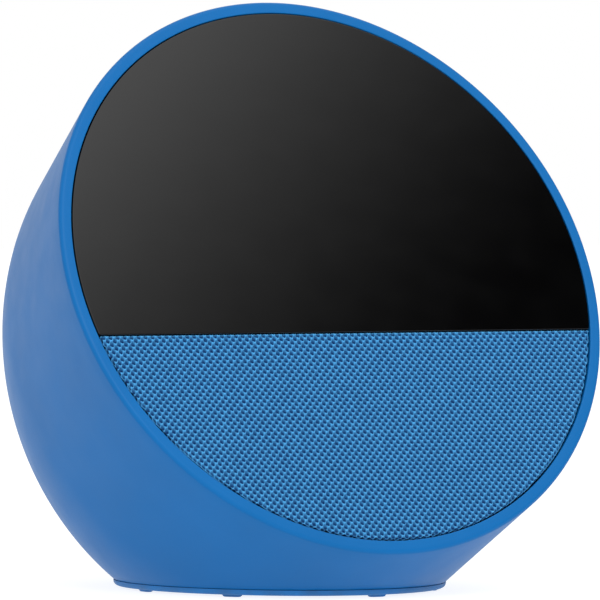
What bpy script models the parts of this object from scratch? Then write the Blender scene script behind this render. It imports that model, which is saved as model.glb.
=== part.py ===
"""Small smart display: a ball-shaped housing whose flat round face leans back.

The housing's outer surface is the tightest skin around two things: the flat face, and a ball
(an ellipsoid) behind and below it.  The face carries a D-shaped cover glass over the display and
a knitted grille over the speaker.  Three push buttons sit on top, behind the face, and the power
socket is low on the back.

Frame: metres, +Z up, the face looks towards -Y, +X is the viewer's right.  The origin is under
the middle of the object, at the height of the surface that it stands on.
"""
import math

import bmesh
import bpy
import numpy as np
from mathutils import Matrix, Vector

MM = 0.001

# Face: a flat disc that leans back from the vertical.
FACE_LEAN = math.radians(26.06)
FACE_CENTRE = Vector((0.0, -27.0 * MM, 59.9 * MM))
FACE_RADIUS = 56.5 * MM
RIM_WIDTH = 2.24 * MM
RIM_ROUNDING = 0.6 * MM
SEAM_HEIGHT = -12.1 * MM          # seam between glass and grille, below the face's centre

# Ball: the ellipsoid that the housing's back follows.
BALL_CENTRE = np.array([0.0, -1.82, 44.79]) * MM
BALL_HALF_WIDTH = 49.4 * MM
BALL_HALF_LENGTHS = (50.98 * MM, 57.57 * MM)
BALL_TURN = math.radians(-37.13)  # turn of the first half length, from +Y towards +Z

WALL = 2.2 * MM
GAP = 0.3 * MM                    # clearance between neighbouring pieces
COLUMNS = 64                      # facets around the housing
BACK_ROWS = 9                     # facets from the ball's tangent line to its back

# Base.
FOOT_HEIGHT = 0.5 * MM
PAD_THICKNESS = 0.75 * MM
PAD_PROUD = 0.35 * MM             # how far the pad stands out past the housing's bottom edge
FEET = 8
FOOT_SIZE = (4.0 * MM, 1.6 * MM)
FOOT_INSET = 2.3 * MM             # from the pad's edge to the middle of a foot
SHELL_BOTTOM = FOOT_HEIGHT + PAD_THICKNESS + GAP
FLOOR_UNDERSIDE = 3.9 * MM
FLOOR_TOP = 7.0 * MM
BASE_CENTRE_Y = -6.8 * MM
BASE_RECESS = (25.6 * MM, 30.2 * MM)
BASE_OPENING = (18.0 * MM, 21.4 * MM)

# Depths of the face's layers, measured back from the face along its own axis.
GLASS_BACK = 1.3 * MM
GASKET_FRONT, GASKET_BACK = 1.6 * MM, 3.1 * MM
CHASSIS_FRONT, CHASSIS_BACK = 3.4 * MM, 5.0 * MM
LEDGE_FRONT, LEDGE_BACK = 5.3 * MM, 9.3 * MM
LEDGE_RADIUS = 50.3 * MM
BOARD_FRONT, BOARD_BACK = 9.3 * MM, 10.5 * MM

# Display.
DISPLAY_CENTRE_Y = 17.0 * MM
DISPLAY_HALF_SIZE = (28.75 * MM, 21.55 * MM)
TRAY_HALF_SIZE = (30.5 * MM, 22.5 * MM)

# Speaker, about its own axis, which is square to the face.
SPEAKER_Y = -27.0 * MM
FLANGE_HALF_SIZE = 20.5 * MM
FLANGE_CORNER = 5.0 * MM
FLANGE_HOLE = 17.2 * MM
FLANGE_SCREW = 16.2 * MM

# Controls, on a deck square to the housing's skin on top.
DECK_DISTANCE = 22.0 * MM         # from the face's edge, back along the skin
BUTTON_PITCH = 14.0 * MM
BUTTON_RADIUS = 4.5 * MM
BUTTON_PROUD = 0.4 * MM
DECK_BOARD_TOP = -12.0 * MM

# Power socket.
JACK_HEIGHT = 16.5 * MM
JACK_FACE_Y = 32.9 * MM
JACK_RECESS = 5.6 * MM
JACK_BORE = 2.9 * MM

# Screws.
SCREW_RADIUS = 0.9 * MM
SCREW_HOLE = 1.25 * MM
SCREW_HEAD = 1.7 * MM

FACE_AXIS = Vector((0.0, -math.cos(FACE_LEAN), math.sin(FACE_LEAN)))
FACE_UP = Vector((0.0, math.sin(FACE_LEAN), math.cos(FACE_LEAN)))
FACE_INNER = FACE_RADIUS - RIM_WIDTH
INSERT_RADIUS = FACE_INNER - 0.25 * MM

PARTS = None
CUTTERS = None


# ---------------------------------------------------------------- scene and helpers

def clear_scene():
    for item in list(bpy.data.objects):
        bpy.data.objects.remove(item, do_unlink=True)


def new_collection(name):
    collection = bpy.data.collections.new(name)
    bpy.context.scene.collection.children.link(collection)
    return collection


def material(name, color, roughness, metallic=0.0):
    made = bpy.data.materials.get(name) or bpy.data.materials.new(name)
    made.use_nodes = True
    shader = made.node_tree.nodes["Principled BSDF"]
    shader.inputs["Base Color"].default_value = (*color, 1.0)
    shader.inputs["Roughness"].default_value = roughness
    shader.inputs["Metallic"].default_value = metallic
    made.diffuse_color = (*color, 1.0)
    return made


def finishes():
    """One finish for each kind of surface, as (colour, roughness, metallic)."""
    return {
        "housing_blue": ((0.028, 0.17, 0.42), 0.45, 0.0),
        "base_blue": ((0.02, 0.13, 0.35), 0.6, 0.0),
        "button_blue": ((0.03, 0.18, 0.44), 0.4, 0.0),
        "glass_black": ((0.004, 0.004, 0.005), 0.05, 0.0),
        "knit_blue": ((0.03, 0.16, 0.38), 0.9, 0.0),
        "frame_black": ((0.02, 0.02, 0.022), 0.5, 0.0),
        "frame_grey": ((0.12, 0.12, 0.13), 0.5, 0.0),
        "foam_black": ((0.015, 0.015, 0.015), 0.95, 0.0),
        "panel_grey": ((0.05, 0.05, 0.06), 0.2, 0.0),
        "steel": ((0.6, 0.6, 0.62), 0.3, 1.0),
        "dark_steel": ((0.12, 0.12, 0.13), 0.4, 1.0),
        "aluminium": ((0.75, 0.75, 0.77), 0.35, 1.0),
        "ferrite": ((0.03, 0.03, 0.033), 0.6, 0.0),
        "paper_black": ((0.02, 0.02, 0.02), 0.8, 0.0),
        "rubber_black": ((0.012, 0.012, 0.012), 0.75, 0.0),
        "spider_yellow": ((0.55, 0.36, 0.12), 0.85, 0.0),
        "copper": ((0.72, 0.32, 0.16), 0.35, 1.0),
        "board_green": ((0.01, 0.12, 0.05), 0.45, 0.0),
        "flex_orange": ((0.5, 0.22, 0.04), 0.45, 0.0),
        "thermal_grey": ((0.35, 0.37, 0.4), 0.85, 0.0),
        "cable_black": ((0.015, 0.015, 0.015), 0.6, 0.0),
        "brass": ((0.7, 0.5, 0.2), 0.3, 1.0),
    }


def add_object(name, mesh, finish=None, frame=None):
    """Put a mesh in the scene; without a finish it is a cutter."""
    made = bpy.data.objects.new(name, mesh)
    (PARTS if finish else CUTTERS).objects.link(made)
    if finish:
        mesh.materials.append(material(finish, *finishes()[finish]))
    else:
        made.hide_render = True
        made.display_type = "WIRE"
    made.parent = frame
    return made


def add_frame(name, location, z_axis, y_axis):
    """An empty whose local Z and Y axes lie along the two directions given."""
    empty = bpy.data.objects.new(name, None)
    PARTS.objects.link(empty)
    x_axis = y_axis.cross(z_axis)
    turn = Matrix((x_axis, y_axis, z_axis)).transposed().to_4x4()
    empty.matrix_world = Matrix.Translation(location) @ turn
    return empty


def finish_mesh(work, name, smooth_angle=None):
    bmesh.ops.recalc_face_normals(work, faces=work.faces[:])
    mesh = bpy.data.meshes.new(name)
    work.to_mesh(mesh)
    work.free()
    if smooth_angle:
        mesh.shade_smooth()
        mesh.set_sharp_from_angle(angle=math.radians(smooth_angle))
    return mesh


def box_mesh(name, low, high):
    low, high = Vector(low), Vector(high)
    work = bmesh.new()
    size = Matrix.Diagonal((*(high - low), 1.0))
    bmesh.ops.create_cube(work, size=1.0, matrix=Matrix.Translation((low + high) / 2) @ size)
    return finish_mesh(work, name)


def rods_mesh(name, rods, segments=16):
    """Separate cylinders, each given as (radius, x, y, low z, high z)."""
    work = bmesh.new()
    for radius, x, y, low, high in rods:
        place = Matrix.Translation((x, y, (low + high) / 2))
        bmesh.ops.create_cone(work, cap_ends=True, segments=segments, radius1=radius,
                              radius2=radius, depth=high - low, matrix=place)
    return finish_mesh(work, name, 40)


def turned(name, profile, finish=None, frame=None, steps=28, closed=False):
    """Turn a profile of (radius, z) points, top to bottom down its outer side, about Z."""
    mesh = bpy.data.meshes.new(name)
    count = len(profile)
    edges = [(i, i + 1) for i in range(count - 1)]
    if closed:
        edges.append((count - 1, 0))
    mesh.from_pydata([(radius, 0.0, z) for radius, z in profile], edges, [])
    made = add_object(name, mesh, finish, frame)
    screw = made.modifiers.new("turn", "SCREW")
    screw.steps = steps
    screw.render_steps = steps
    screw.use_merge_vertices = True
    screw.merge_threshold = 0.01 * MM
    return made


def ring(outer, inner, top, bottom):
    """Profile of a flat ring, for turned(..., closed=True)."""
    return [(outer, top), (outer, bottom), (inner, bottom), (inner, top)]


def plate_mesh(name, outlines, low, high):
    """A flat plate between two heights; outlines after the first are holes in it."""
    curve = bpy.data.curves.new(name + "_outline", "CURVE")
    curve.dimensions = "2D"
    curve.fill_mode = "BOTH"
    curve.extrude = (high - low) / 2
    for outline in outlines:
        spline = curve.splines.new("POLY")
        spline.points.add(len(outline) - 1)
        for point, (x, y) in zip(spline.points, outline):
            point.co = (x, y, 0.0, 1.0)
        spline.use_cyclic_u = True
    drawn = bpy.data.objects.new(name + "_outline", curve)
    bpy.context.scene.collection.objects.link(drawn)
    graph = bpy.context.evaluated_depsgraph_get()
    mesh = bpy.data.meshes.new_from_object(drawn.evaluated_get(graph))
    bpy.data.objects.remove(drawn, do_unlink=True)
    bpy.data.curves.remove(curve)
    work = bmesh.new()
    work.from_mesh(mesh)
    bpy.data.meshes.remove(mesh)
    bmesh.ops.remove_doubles(work, verts=work.verts[:], dist=0.01 * MM)
    bmesh.ops.translate(work, verts=work.verts[:], vec=(0.0, 0.0, (low + high) / 2))
    return finish_mesh(work, name)


def circle(radius, x=0.0, y=0.0, count=24):
    angles = [2 * math.pi * i / count for i in range(count)]
    return [(x + radius * math.cos(a), y + radius * math.sin(a)) for a in angles]


def rounded_rectangle(half_x, half_y, corner, x=0.0, y=0.0, steps=4):
    """Outline of a rectangle with round corners, anticlockwise from its right side."""
    points = []
    for quarter, (sx, sy) in enumerate(((1, 1), (-1, 1), (-1, -1), (1, -1))):
        for step in range(steps + 1):
            angle = math.pi / 2 * (quarter + step / steps)
            points.append((x + sx * (half_x - corner) + corner * math.cos(angle),
                           y + sy * (half_y - corner) + corner * math.sin(angle)))
    return points


def disc_above(radius, y, count=40):
    """Outline of the part of a disc above a straight chord."""
    start = math.asin(y / radius)
    angles = [start + (math.pi - 2 * start) * i / count for i in range(count + 1)]
    return [(radius * math.cos(a), radius * math.sin(a)) for a in angles]


def disc_below(radius, y, count=32):
    """Outline of the part of a disc below a straight chord."""
    start = math.asin(y / radius)
    angles = [math.pi - start + (math.pi + 2 * start) * i / count for i in range(count + 1)]
    return [(radius * math.cos(a), radius * math.sin(a)) for a in angles]


def combine(made, other, operation):
    step = made.modifiers.new(operation.lower(), "BOOLEAN")
    step.operation = operation
    step.solver = "EXACT"
    step.object = other


def screw_piece(name, spot, head, length, frame=None, upwards=False):
    """A flat-head screw from the outer face of its head, with its shaft along -Z or +Z."""
    tip = -head - length
    profile = [(0.0, 0.0), (SCREW_HEAD, 0.0), (SCREW_HEAD, -head), (SCREW_RADIUS, -head),
               (SCREW_RADIUS, tip), (0.0, tip)]
    made = turned(name, profile, "steel", frame, steps=12)
    made.location = spot
    if upwards:
        made.rotation_euler = (math.pi, 0.0, 0.0)


# ---------------------------------------------------------------- the housing's skin

def ball_matrix():
    """Columns are the ball's three half axes as vectors."""
    cos, sin = math.cos(BALL_TURN), math.sin(BALL_TURN)
    first, second = BALL_HALF_LENGTHS
    return np.array([[BALL_HALF_WIDTH, 0.0, 0.0],
                     [0.0, first * cos, -second * sin],
                     [0.0, first * sin, second * cos]])


def skin_directions():
    """For each column, the outward radius in the face and the skin's normal at the rim.

    The skin's straight part leaves the rim in a plane that also touches the ball.  Its normal is
    N = cos(a) * radius - sin(a) * face axis, and a is found by halving an interval.
    """
    angles = 2 * math.pi * np.arange(COLUMNS) / COLUMNS
    axis, up = np.array(FACE_AXIS), np.array(FACE_UP)
    side = np.array([1.0, 0.0, 0.0])
    radial = np.cos(angles)[:, None] * side + np.sin(angles)[:, None] * up
    centre = np.array(FACE_CENTRE)
    shape = ball_matrix() @ ball_matrix().T
    low = np.full(COLUMNS, -0.5)
    high = np.full(COLUMNS, 1.2)
    for _ in range(40):
        middle = (low + high) / 2
        normal = np.cos(middle)[:, None] * radial - np.sin(middle)[:, None] * axis
        reach = np.sqrt(np.einsum("ij,jk,ik->i", normal, shape, normal))
        face_reach = normal @ centre + FACE_RADIUS * np.cos(middle)
        outside = face_reach > normal @ BALL_CENTRE + reach
        low = np.where(outside, middle, low)
        high = np.where(outside, high, middle)
    return radial, normal, middle


def skin_rows(inset):
    """Rows of points on the skin moved inwards by inset, from the rim to the back pole.

    The first row is on the rim itself; the second is where the skin meets the ball.
    """
    radial, normal, _ = skin_directions()
    axes = ball_matrix()
    shape = axes @ axes.T
    reach = np.sqrt(np.einsum("ij,jk,ik->i", normal, shape, normal))
    touch = BALL_CENTRE + (normal @ shape) / reach[:, None]
    rim = np.array(FACE_CENTRE) + FACE_RADIUS * radial
    rows = [rim - inset * normal]
    inverse = np.linalg.inv(axes)
    start = (touch - BALL_CENTRE) @ inverse.T
    pole = axes.T @ -np.array(FACE_AXIS)
    pole /= np.linalg.norm(pole)
    angle = np.arccos(np.clip(start @ pole, -1.0, 1.0))
    for row in range(BACK_ROWS):
        part = row / BACK_ROWS
        unit = (np.sin((1 - part) * angle)[:, None] * start
                + np.sin(part * angle)[:, None] * pole) / np.sin(angle)[:, None]
        outward = unit @ inverse
        outward /= np.linalg.norm(outward, axis=1)[:, None]
        rows.append(BALL_CENTRE + unit @ axes.T - inset * outward)
    end = BALL_CENTRE + axes @ pole + inset * np.array(FACE_AXIS)
    return rows, end


def loft_mesh(name, rows, end, floor):
    """Close rows of points into a solid, cut flat at the height of floor."""
    work = bmesh.new()
    rings = [[work.verts.new(point) for point in row] for row in rows]
    work.faces.new(rings[0])
    for front, back in zip(rings, rings[1:]):
        for i in range(COLUMNS):
            j = (i + 1) % COLUMNS
            work.faces.new((front[i], front[j], back[j], back[i]))
    tip = work.verts.new(end)
    for i in range(COLUMNS):
        work.faces.new((rings[-1][i], rings[-1][(i + 1) % COLUMNS], tip))
    everything = work.verts[:] + work.edges[:] + work.faces[:]
    cut = bmesh.ops.bisect_plane(work, geom=everything, plane_co=(0.0, 0.0, floor),
                                 plane_no=(0.0, 0.0, 1.0), clear_inner=True)
    edges = [item for item in cut["geom_cut"] if isinstance(item, bmesh.types.BMEdge)]
    bmesh.ops.edgeloop_fill(work, edges=edges)
    return finish_mesh(work, name, 30)


def outer_mesh(name, inset, floor):
    """The outer solid, with the rim's edge rounded; a negative inset stands proud of it."""
    radial, normal, lean = skin_directions()
    rows, end = skin_rows(inset)
    centre = np.array(FACE_CENTRE)
    axis = np.array(FACE_AXIS)
    radius = FACE_RADIUS - RIM_ROUNDING * (1 + np.sin(lean)) / np.cos(lean)
    middle = centre + radius[:, None] * radial - RIM_ROUNDING * axis
    edge = []
    for part in (0.0, 0.5, 1.0):
        direction = (1 - part) * axis + part * normal
        direction /= np.linalg.norm(direction, axis=1)[:, None]
        edge.append(middle + (RIM_ROUNDING - inset) * direction)
    return loft_mesh(name, edge + rows[1:], end, floor)


def inner_mesh(name):
    """The hollow: a stepped seat for the face's layers, then the skin moved in by the wall."""
    radial, _, _ = skin_directions()
    rows, end = skin_rows(WALL)
    centre, axis = np.array(FACE_CENTRE), np.array(FACE_AXIS)
    seat = []
    for radius, depth in ((FACE_INNER, -2.0 * MM), (FACE_INNER, LEDGE_FRONT),
                          (LEDGE_RADIUS, LEDGE_FRONT), (LEDGE_RADIUS, LEDGE_BACK)):
        seat.append(centre + radius * radial - depth * axis)
    line = rows[1] - rows[0]
    start = (rows[0] - centre) @ axis
    part = (-LEDGE_BACK - start) / (line @ axis)
    wall = rows[0] + part[:, None] * line
    return loft_mesh(name, seat + [wall] + rows[1:], end, FLOOR_TOP)


def stack_mesh(name, layers):
    """A solid through flat outlines of equally many points, as (outline, height), upwards."""
    work = bmesh.new()
    rings = [[work.verts.new((x, y, height)) for x, y in outline] for outline, height in layers]
    work.faces.new(rings[0])
    work.faces.new(rings[-1])
    for low, high in zip(rings, rings[1:]):
        for i in range(len(low)):
            j = (i + 1) % len(low)
            work.faces.new((low[i], low[j], high[j], high[i]))
    return finish_mesh(work, name, 40)


def base_ellipse(half_size, inset=0.0):
    half_x, half_y = half_size[0] - inset, half_size[1] - inset
    return [(half_x * x, BASE_CENTRE_Y + half_y * y) for x, y in circle(1.0, count=40)]


def pad_radius(angles):
    """Distance from the base's centre to the housing's bottom edge, in each direction.

    Every column of the skin is followed from the rim to the back, and the points where it
    passes through the height of the bottom edge give the outline.
    """
    rows, end = skin_rows(0.0)
    grid = np.array([*rows, np.tile(end, (COLUMNS, 1))])
    before, after = grid[:-1], grid[1:]
    above, below = before[..., 2] - SHELL_BOTTOM, after[..., 2] - SHELL_BOTTOM
    passes = above * below < 0
    part = (above / (above - below))[passes][:, None]
    spots = before[passes] + part * (after[passes] - before[passes])
    spots -= (0.0, BASE_CENTRE_Y, 0.0)
    direction = np.arctan2(spots[:, 1], spots[:, 0])
    order = np.argsort(direction)
    radius = np.hypot(spots[:, 0], spots[:, 1])[order]
    return np.interp(angles, direction[order], radius, period=2 * math.pi)


def pad_outline(offset, count=56):
    """The housing's bottom edge moved outwards by offset."""
    angles = 2 * math.pi * np.arange(count) / count
    radius = pad_radius(angles) + offset
    return list(zip(radius * np.cos(angles), BASE_CENTRE_Y + radius * np.sin(angles)))


def base_spots(half_width, half_depth):
    """Four spots at the corners of the base, for its screws."""
    side = math.sqrt(0.5)
    return [(sx * half_width * side, BASE_CENTRE_Y + sy * half_depth * side)
            for sx, sy in ((1, 1), (-1, 1), (-1, -1), (1, -1))]


def chassis_spots():
    """Four screws that hold the chassis to the housing's ledge, all under the glass."""
    radius = 52.2 * MM
    return [(radius * math.cos(math.radians(a)), radius * math.sin(math.radians(a)))
            for a in (-10, 35, 145, 190)]


def board_spots():
    return [(37.0 * MM, 2.0 * MM), (-37.0 * MM, 2.0 * MM),
            (15.0 * MM, 43.8 * MM), (-15.0 * MM, 43.8 * MM)]


def speaker_spots():
    return [(sx * FLANGE_SCREW, SPEAKER_Y + sy * FLANGE_SCREW)
            for sx, sy in ((1, 1), (-1, 1), (-1, -1), (1, -1))]


BASE_SCREWS = base_spots(22.3 * MM, 26.4 * MM)
DECK_POSTS = ((22.5 * MM, 0.0), (-22.5 * MM, 0.0))
POWER_POST = (0.0, 22.0 * MM)
MICROPHONES = {"microphone_left": (-7.0 * MM, 5.0 * MM), "microphone_right": (7.0 * MM, 5.0 * MM)}
BUTTONS = {"volume_down": -BUTTON_PITCH, "volume_up": 0.0, "mic_off": BUTTON_PITCH}


def rear_shell(face, deck):
    """The ball housing: outer solid less hollow, plus posts, less holes."""
    shell = add_object("rear_shell", outer_mesh("rear_shell", 0.0, SHELL_BOTTOM), "housing_blue")
    combine(shell, add_object("shell_hollow", inner_mesh("shell_hollow")), "DIFFERENCE")

    posts = [(2.2 * MM, x, y, DECK_BOARD_TOP + GAP, -6.9 * MM) for x, y in DECK_POSTS]
    combine(shell, add_object("deck_posts", rods_mesh("deck_posts", posts), frame=deck), "UNION")
    post = rods_mesh("power_post", [(2.2 * MM, *POWER_POST, FLOOR_TOP - MM, 9.0 * MM)])
    combine(shell, add_object("power_post", post), "UNION")

    deck_holes = [(BUTTON_RADIUS + 0.35 * MM, x, 0.0, -8.0 * MM, 4.0 * MM)
                  for x in BUTTONS.values()]
    deck_holes += [(0.7 * MM, x, y, -6.0 * MM, 4.0 * MM) for x, y in MICROPHONES.values()]
    deck_holes += [(SCREW_HOLE, x, y, -13.0 * MM, -8.2 * MM) for x, y in DECK_POSTS]
    drill = rods_mesh("deck_holes", deck_holes, 20)
    combine(shell, add_object("deck_holes", drill, frame=deck), "DIFFERENCE")

    ledge_holes = [(SCREW_HOLE, x, y, -LEDGE_BACK - MM, -LEDGE_FRONT + MM)
                   for x, y in chassis_spots()]
    drill = rods_mesh("ledge_holes", ledge_holes, 12)
    combine(shell, add_object("ledge_holes", drill, frame=face), "DIFFERENCE")

    floor_holes = [(SCREW_HOLE, x, y, FLOOR_UNDERSIDE - MM, FLOOR_TOP + MM)
                   for x, y in BASE_SCREWS]
    floor_holes.append((SCREW_HOLE, *POWER_POST, FLOOR_TOP - 0.5 * MM, 10.0 * MM))
    drill = rods_mesh("floor_holes", floor_holes, 12)
    combine(shell, add_object("floor_holes", drill), "DIFFERENCE")

    wide, narrow = base_ellipse(BASE_RECESS), base_ellipse(BASE_OPENING)
    recess = stack_mesh("base_recess", [(wide, -MM), (wide, FLOOR_UNDERSIDE),
                                        (narrow, FLOOR_UNDERSIDE), (narrow, FLOOR_TOP + MM)])
    combine(shell, add_object("base_recess", recess), "DIFFERENCE")

    socket = add_object("socket_recess", rods_mesh("socket_recess", [
        (JACK_RECESS, 0.0, 0.0, -12.0 * MM, 12.0 * MM)], 28))
    socket.location = (0.0, JACK_FACE_Y + 6.0 * MM, JACK_HEIGHT)
    socket.rotation_euler = (math.pi / 2, 0.0, 0.0)
    combine(shell, socket, "DIFFERENCE")


# ---------------------------------------------------------------- the face

def cover_glass(face):
    outline = disc_above(INSERT_RADIUS, SEAM_HEIGHT + 0.1 * MM, 48)
    add_object("cover_glass", plate_mesh("cover_glass", [outline], -GLASS_BACK, 0.0),
               "glass_black", face)


def grille(face):
    """The knitted skin and the perforated plate that it is stretched over."""
    outline = disc_below(INSERT_RADIUS, SEAM_HEIGHT - 0.2 * MM, 40)
    skin = plate_mesh("grille_fabric", [outline], -0.9 * MM, -0.1 * MM)
    add_object("grille_fabric", skin, "knit_blue", face)

    pitch, hole = 4.8 * MM, 1.6 * MM
    holes = []
    for row in range(-4, 5):
        for column in range(-4, 5):
            x = pitch * (column + 0.5 * (row % 2))
            y = SPEAKER_Y + pitch * math.sqrt(0.75) * row
            inside = math.hypot(x, y - SPEAKER_Y) < 15.6 * MM
            if inside and y < SEAM_HEIGHT - 2.6 * MM:
                holes.append(circle(hole, x, y, 6))
    outline = disc_below(INSERT_RADIUS - 0.8 * MM, SEAM_HEIGHT - 0.6 * MM)
    plate = plate_mesh("grille_frame", [outline, *holes], -3.1 * MM, -1.2 * MM)
    add_object("grille_frame", plate, "frame_black", face)


def front_chassis(face):
    """Round carrier plate with a window, a speaker hole and four posts on its back."""
    window = rounded_rectangle(TRAY_HALF_SIZE[0] + GAP, TRAY_HALF_SIZE[1] + GAP, GAP,
                               y=DISPLAY_CENTRE_Y, steps=1)
    screws = [circle(SCREW_HOLE, x, y, 12) for x, y in chassis_spots() + speaker_spots()]
    outlines = [circle(INSERT_RADIUS, count=56), window,
                circle(FLANGE_HOLE, 0.0, SPEAKER_Y, 32), *screws]
    plate = plate_mesh("front_chassis", outlines, -CHASSIS_BACK, -CHASSIS_FRONT)
    chassis = add_object("front_chassis", plate, "frame_black", face)
    posts = [(2.3 * MM, x, y, -BOARD_FRONT + GAP, -CHASSIS_BACK + 0.8 * MM)
             for x, y in board_spots()]
    combine(chassis, add_object("chassis_posts", rods_mesh("chassis_posts", posts, 16),
                                frame=face), "UNION")
    holes = [(SCREW_HOLE, x, y, -BOARD_FRONT - MM, -CHASSIS_BACK) for x, y in board_spots()]
    combine(chassis, add_object("post_holes", rods_mesh("post_holes", holes, 12),
                                frame=face), "DIFFERENCE")
    for number, (x, y) in enumerate(chassis_spots(), 1):
        screw_piece(f"chassis_screw_{number}", (x, y, -2.4 * MM), 0.7 * MM, 5.6 * MM, face)


def display(face):
    middle = DISPLAY_CENTRE_Y
    width, height = TRAY_HALF_SIZE
    outer = rounded_rectangle(width + 2.2 * MM, height + 2.0 * MM, 2.5 * MM, y=middle + 0.3 * MM)
    inner = rounded_rectangle(width + GAP, height + GAP, GAP, y=middle, steps=1)
    foam = plate_mesh("display_gasket", [outer, inner], -GASKET_BACK, -GASKET_FRONT)
    add_object("display_gasket", foam, "foam_black", face)

    panel = box_mesh("display_panel",
                     (-DISPLAY_HALF_SIZE[0] - MM, middle - DISPLAY_HALF_SIZE[1] - 0.5 * MM, -2.9 * MM),
                     (DISPLAY_HALF_SIZE[0] + MM, middle + DISPLAY_HALF_SIZE[1] + 0.5 * MM, -1.6 * MM))
    add_object("display_panel", panel, "panel_grey", face)
    tray = box_mesh("display_tray", (-width, middle - height, -6.0 * MM),
                    (width, middle + height, -3.2 * MM))
    add_object("display_tray", tray, "steel", face)


# ---------------------------------------------------------------- flat and round cables

def bezier(points, count):
    """Points along one cubic curve with four control points."""
    a, b, c, d = (Vector(point) for point in points)
    spots = []
    for step in range(count + 1):
        t = step / count
        s = 1 - t
        spots.append(a * s ** 3 + b * 3 * s * s * t + c * 3 * s * t * t + d * t ** 3)
    return spots


def ribbon(name, points, half_width, frame):
    """A flat cable: a strip along a cubic curve, given its thickness by Solidify."""
    path = bezier(points, 12)
    work = bmesh.new()
    across = Vector((half_width, 0.0, 0.0))
    pairs = [(work.verts.new(spot - across), work.verts.new(spot + across)) for spot in path]
    for (a, b), (c, d) in zip(pairs, pairs[1:]):
        work.faces.new((a, b, d, c))
    mesh = bpy.data.meshes.new(name)
    work.to_mesh(mesh)
    work.free()
    made = add_object(name, mesh, "flex_orange", frame)
    thick = made.modifiers.new("thickness", "SOLIDIFY")
    thick.thickness = 0.2 * MM
    thick.offset = 0.0


def cable(name, points, radius, frame=None):
    curve = bpy.data.curves.new(name, "CURVE")
    curve.dimensions = "3D"
    curve.bevel_depth = radius
    curve.bevel_resolution = 2
    curve.use_fill_caps = True
    spots = bezier(points, 14)
    spline = curve.splines.new("POLY")
    spline.points.add(len(spots) - 1)
    for point, spot in zip(spline.points, spots):
        point.co = (*spot, 1.0)
    add_object(name, curve, "cable_black", frame)


# ---------------------------------------------------------------- the speaker

def flange_outline():
    return rounded_rectangle(FLANGE_HALF_SIZE, FLANGE_HALF_SIZE, FLANGE_CORNER)


def flange_holes():
    return [circle(SCREW_HOLE, x, y - SPEAKER_Y, 12) for x, y in speaker_spots()]


def speaker(axis):
    """The driver, built about its own axis, with depths measured back from the face."""
    gasket = plate_mesh("speaker_gasket", [flange_outline(), circle(FLANGE_HOLE, count=32),
                                           *flange_holes()], -5.8 * MM, -5.3 * MM)
    add_object("speaker_gasket", gasket, "foam_black", axis)

    flange = plate_mesh("speaker_basket", [flange_outline(), circle(FLANGE_HOLE, count=32),
                                           *flange_holes()], -7.6 * MM, -6.1 * MM)
    basket = add_object("speaker_basket", flange, "dark_steel", axis)
    cone_wall = [(18.6 * MM, -6.8 * MM), (18.6 * MM, -7.8 * MM), (14.2 * MM, -13.3 * MM),
                 (8.4 * MM, -13.3 * MM), (8.4 * MM, -12.4 * MM), (13.0 * MM, -12.4 * MM),
                 (17.5 * MM, -7.4 * MM), (17.5 * MM, -6.8 * MM)]
    combine(basket, turned("basket_wall", cone_wall, frame=axis, closed=True), "UNION")
    windows = bmesh.new()
    for quarter in range(4):
        turn = Matrix.Rotation(math.pi / 4 + math.pi / 2 * quarter, 4, "Z")
        place = Matrix.Translation((15.8 * MM, 0.0, -10.2 * MM)) @ Matrix.Diagonal(
            (6.0 * MM, 11.0 * MM, 3.4 * MM, 1.0))
        bmesh.ops.create_cube(windows, size=1.0, matrix=turn @ place)
    combine(basket, add_object("basket_windows", finish_mesh(windows, "basket_windows"),
                               frame=axis), "DIFFERENCE")

    arch = [math.pi * step / 5 for step in range(6)]
    over = [(15.1 * MM - 1.8 * MM * math.cos(a), -6.8 * MM + 1.4 * MM * math.sin(a))
            for a in arch]
    under = [(15.1 * MM + 1.4 * MM * math.cos(a), -6.8 * MM + 1.0 * MM * math.sin(a))
             for a in arch]
    turned("speaker_surround", over + under, "rubber_black", axis, closed=True)

    turned("speaker_spider", [(12.6 * MM, -11.7 * MM), (12.6 * MM, -12.1 * MM),
                              (10.6 * MM, -11.8 * MM), (8.8 * MM, -12.1 * MM),
                              (7.4 * MM, -12.7 * MM), (7.4 * MM, -12.3 * MM),
                              (8.8 * MM, -11.7 * MM), (10.6 * MM, -11.4 * MM)],
           "spider_yellow", axis, closed=True)

    turned("speaker_top_plate", ring(14.0 * MM, 7.0 * MM, -13.6 * MM, -15.6 * MM), "steel",
           axis, closed=True)
    turned("speaker_magnet", ring(15.0 * MM, 9.0 * MM, -15.9 * MM, -20.6 * MM), "ferrite",
           axis, closed=True)
    turned("speaker_yoke", [(0.0, -13.6 * MM), (5.6 * MM, -13.6 * MM), (5.6 * MM, -20.9 * MM),
                            (14.0 * MM, -20.9 * MM), (14.0 * MM, -22.9 * MM),
                            (0.0, -22.9 * MM)], "steel", axis)


def diaphragm(axis):
    """The pieces that move together: cone, dust cap and voice coil."""
    turned("speaker_cone", [(13.0 * MM, -6.6 * MM), (13.0 * MM, -7.0 * MM),
                            (6.9 * MM, -10.9 * MM), (6.1 * MM, -10.9 * MM),
                            (6.1 * MM, -10.4 * MM), (12.3 * MM, -6.6 * MM)],
           "paper_black", axis, closed=True)
    dome = [(5.7 * MM * math.sin(a), -11.2 * MM + 2.6 * MM * math.cos(a))
            for a in (math.pi / 2 * step / 5 for step in range(6))]
    turned("speaker_dust_cap", [*dome, (5.2 * MM, -11.2 * MM),
                                (3.0 * MM, -9.6 * MM), (0.0, -9.1 * MM)],
           "paper_black", axis, steps=24)
    turned("speaker_coil", ring(6.5 * MM, 6.1 * MM, -11.2 * MM, -16.8 * MM), "copper", axis,
           closed=True)


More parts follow.
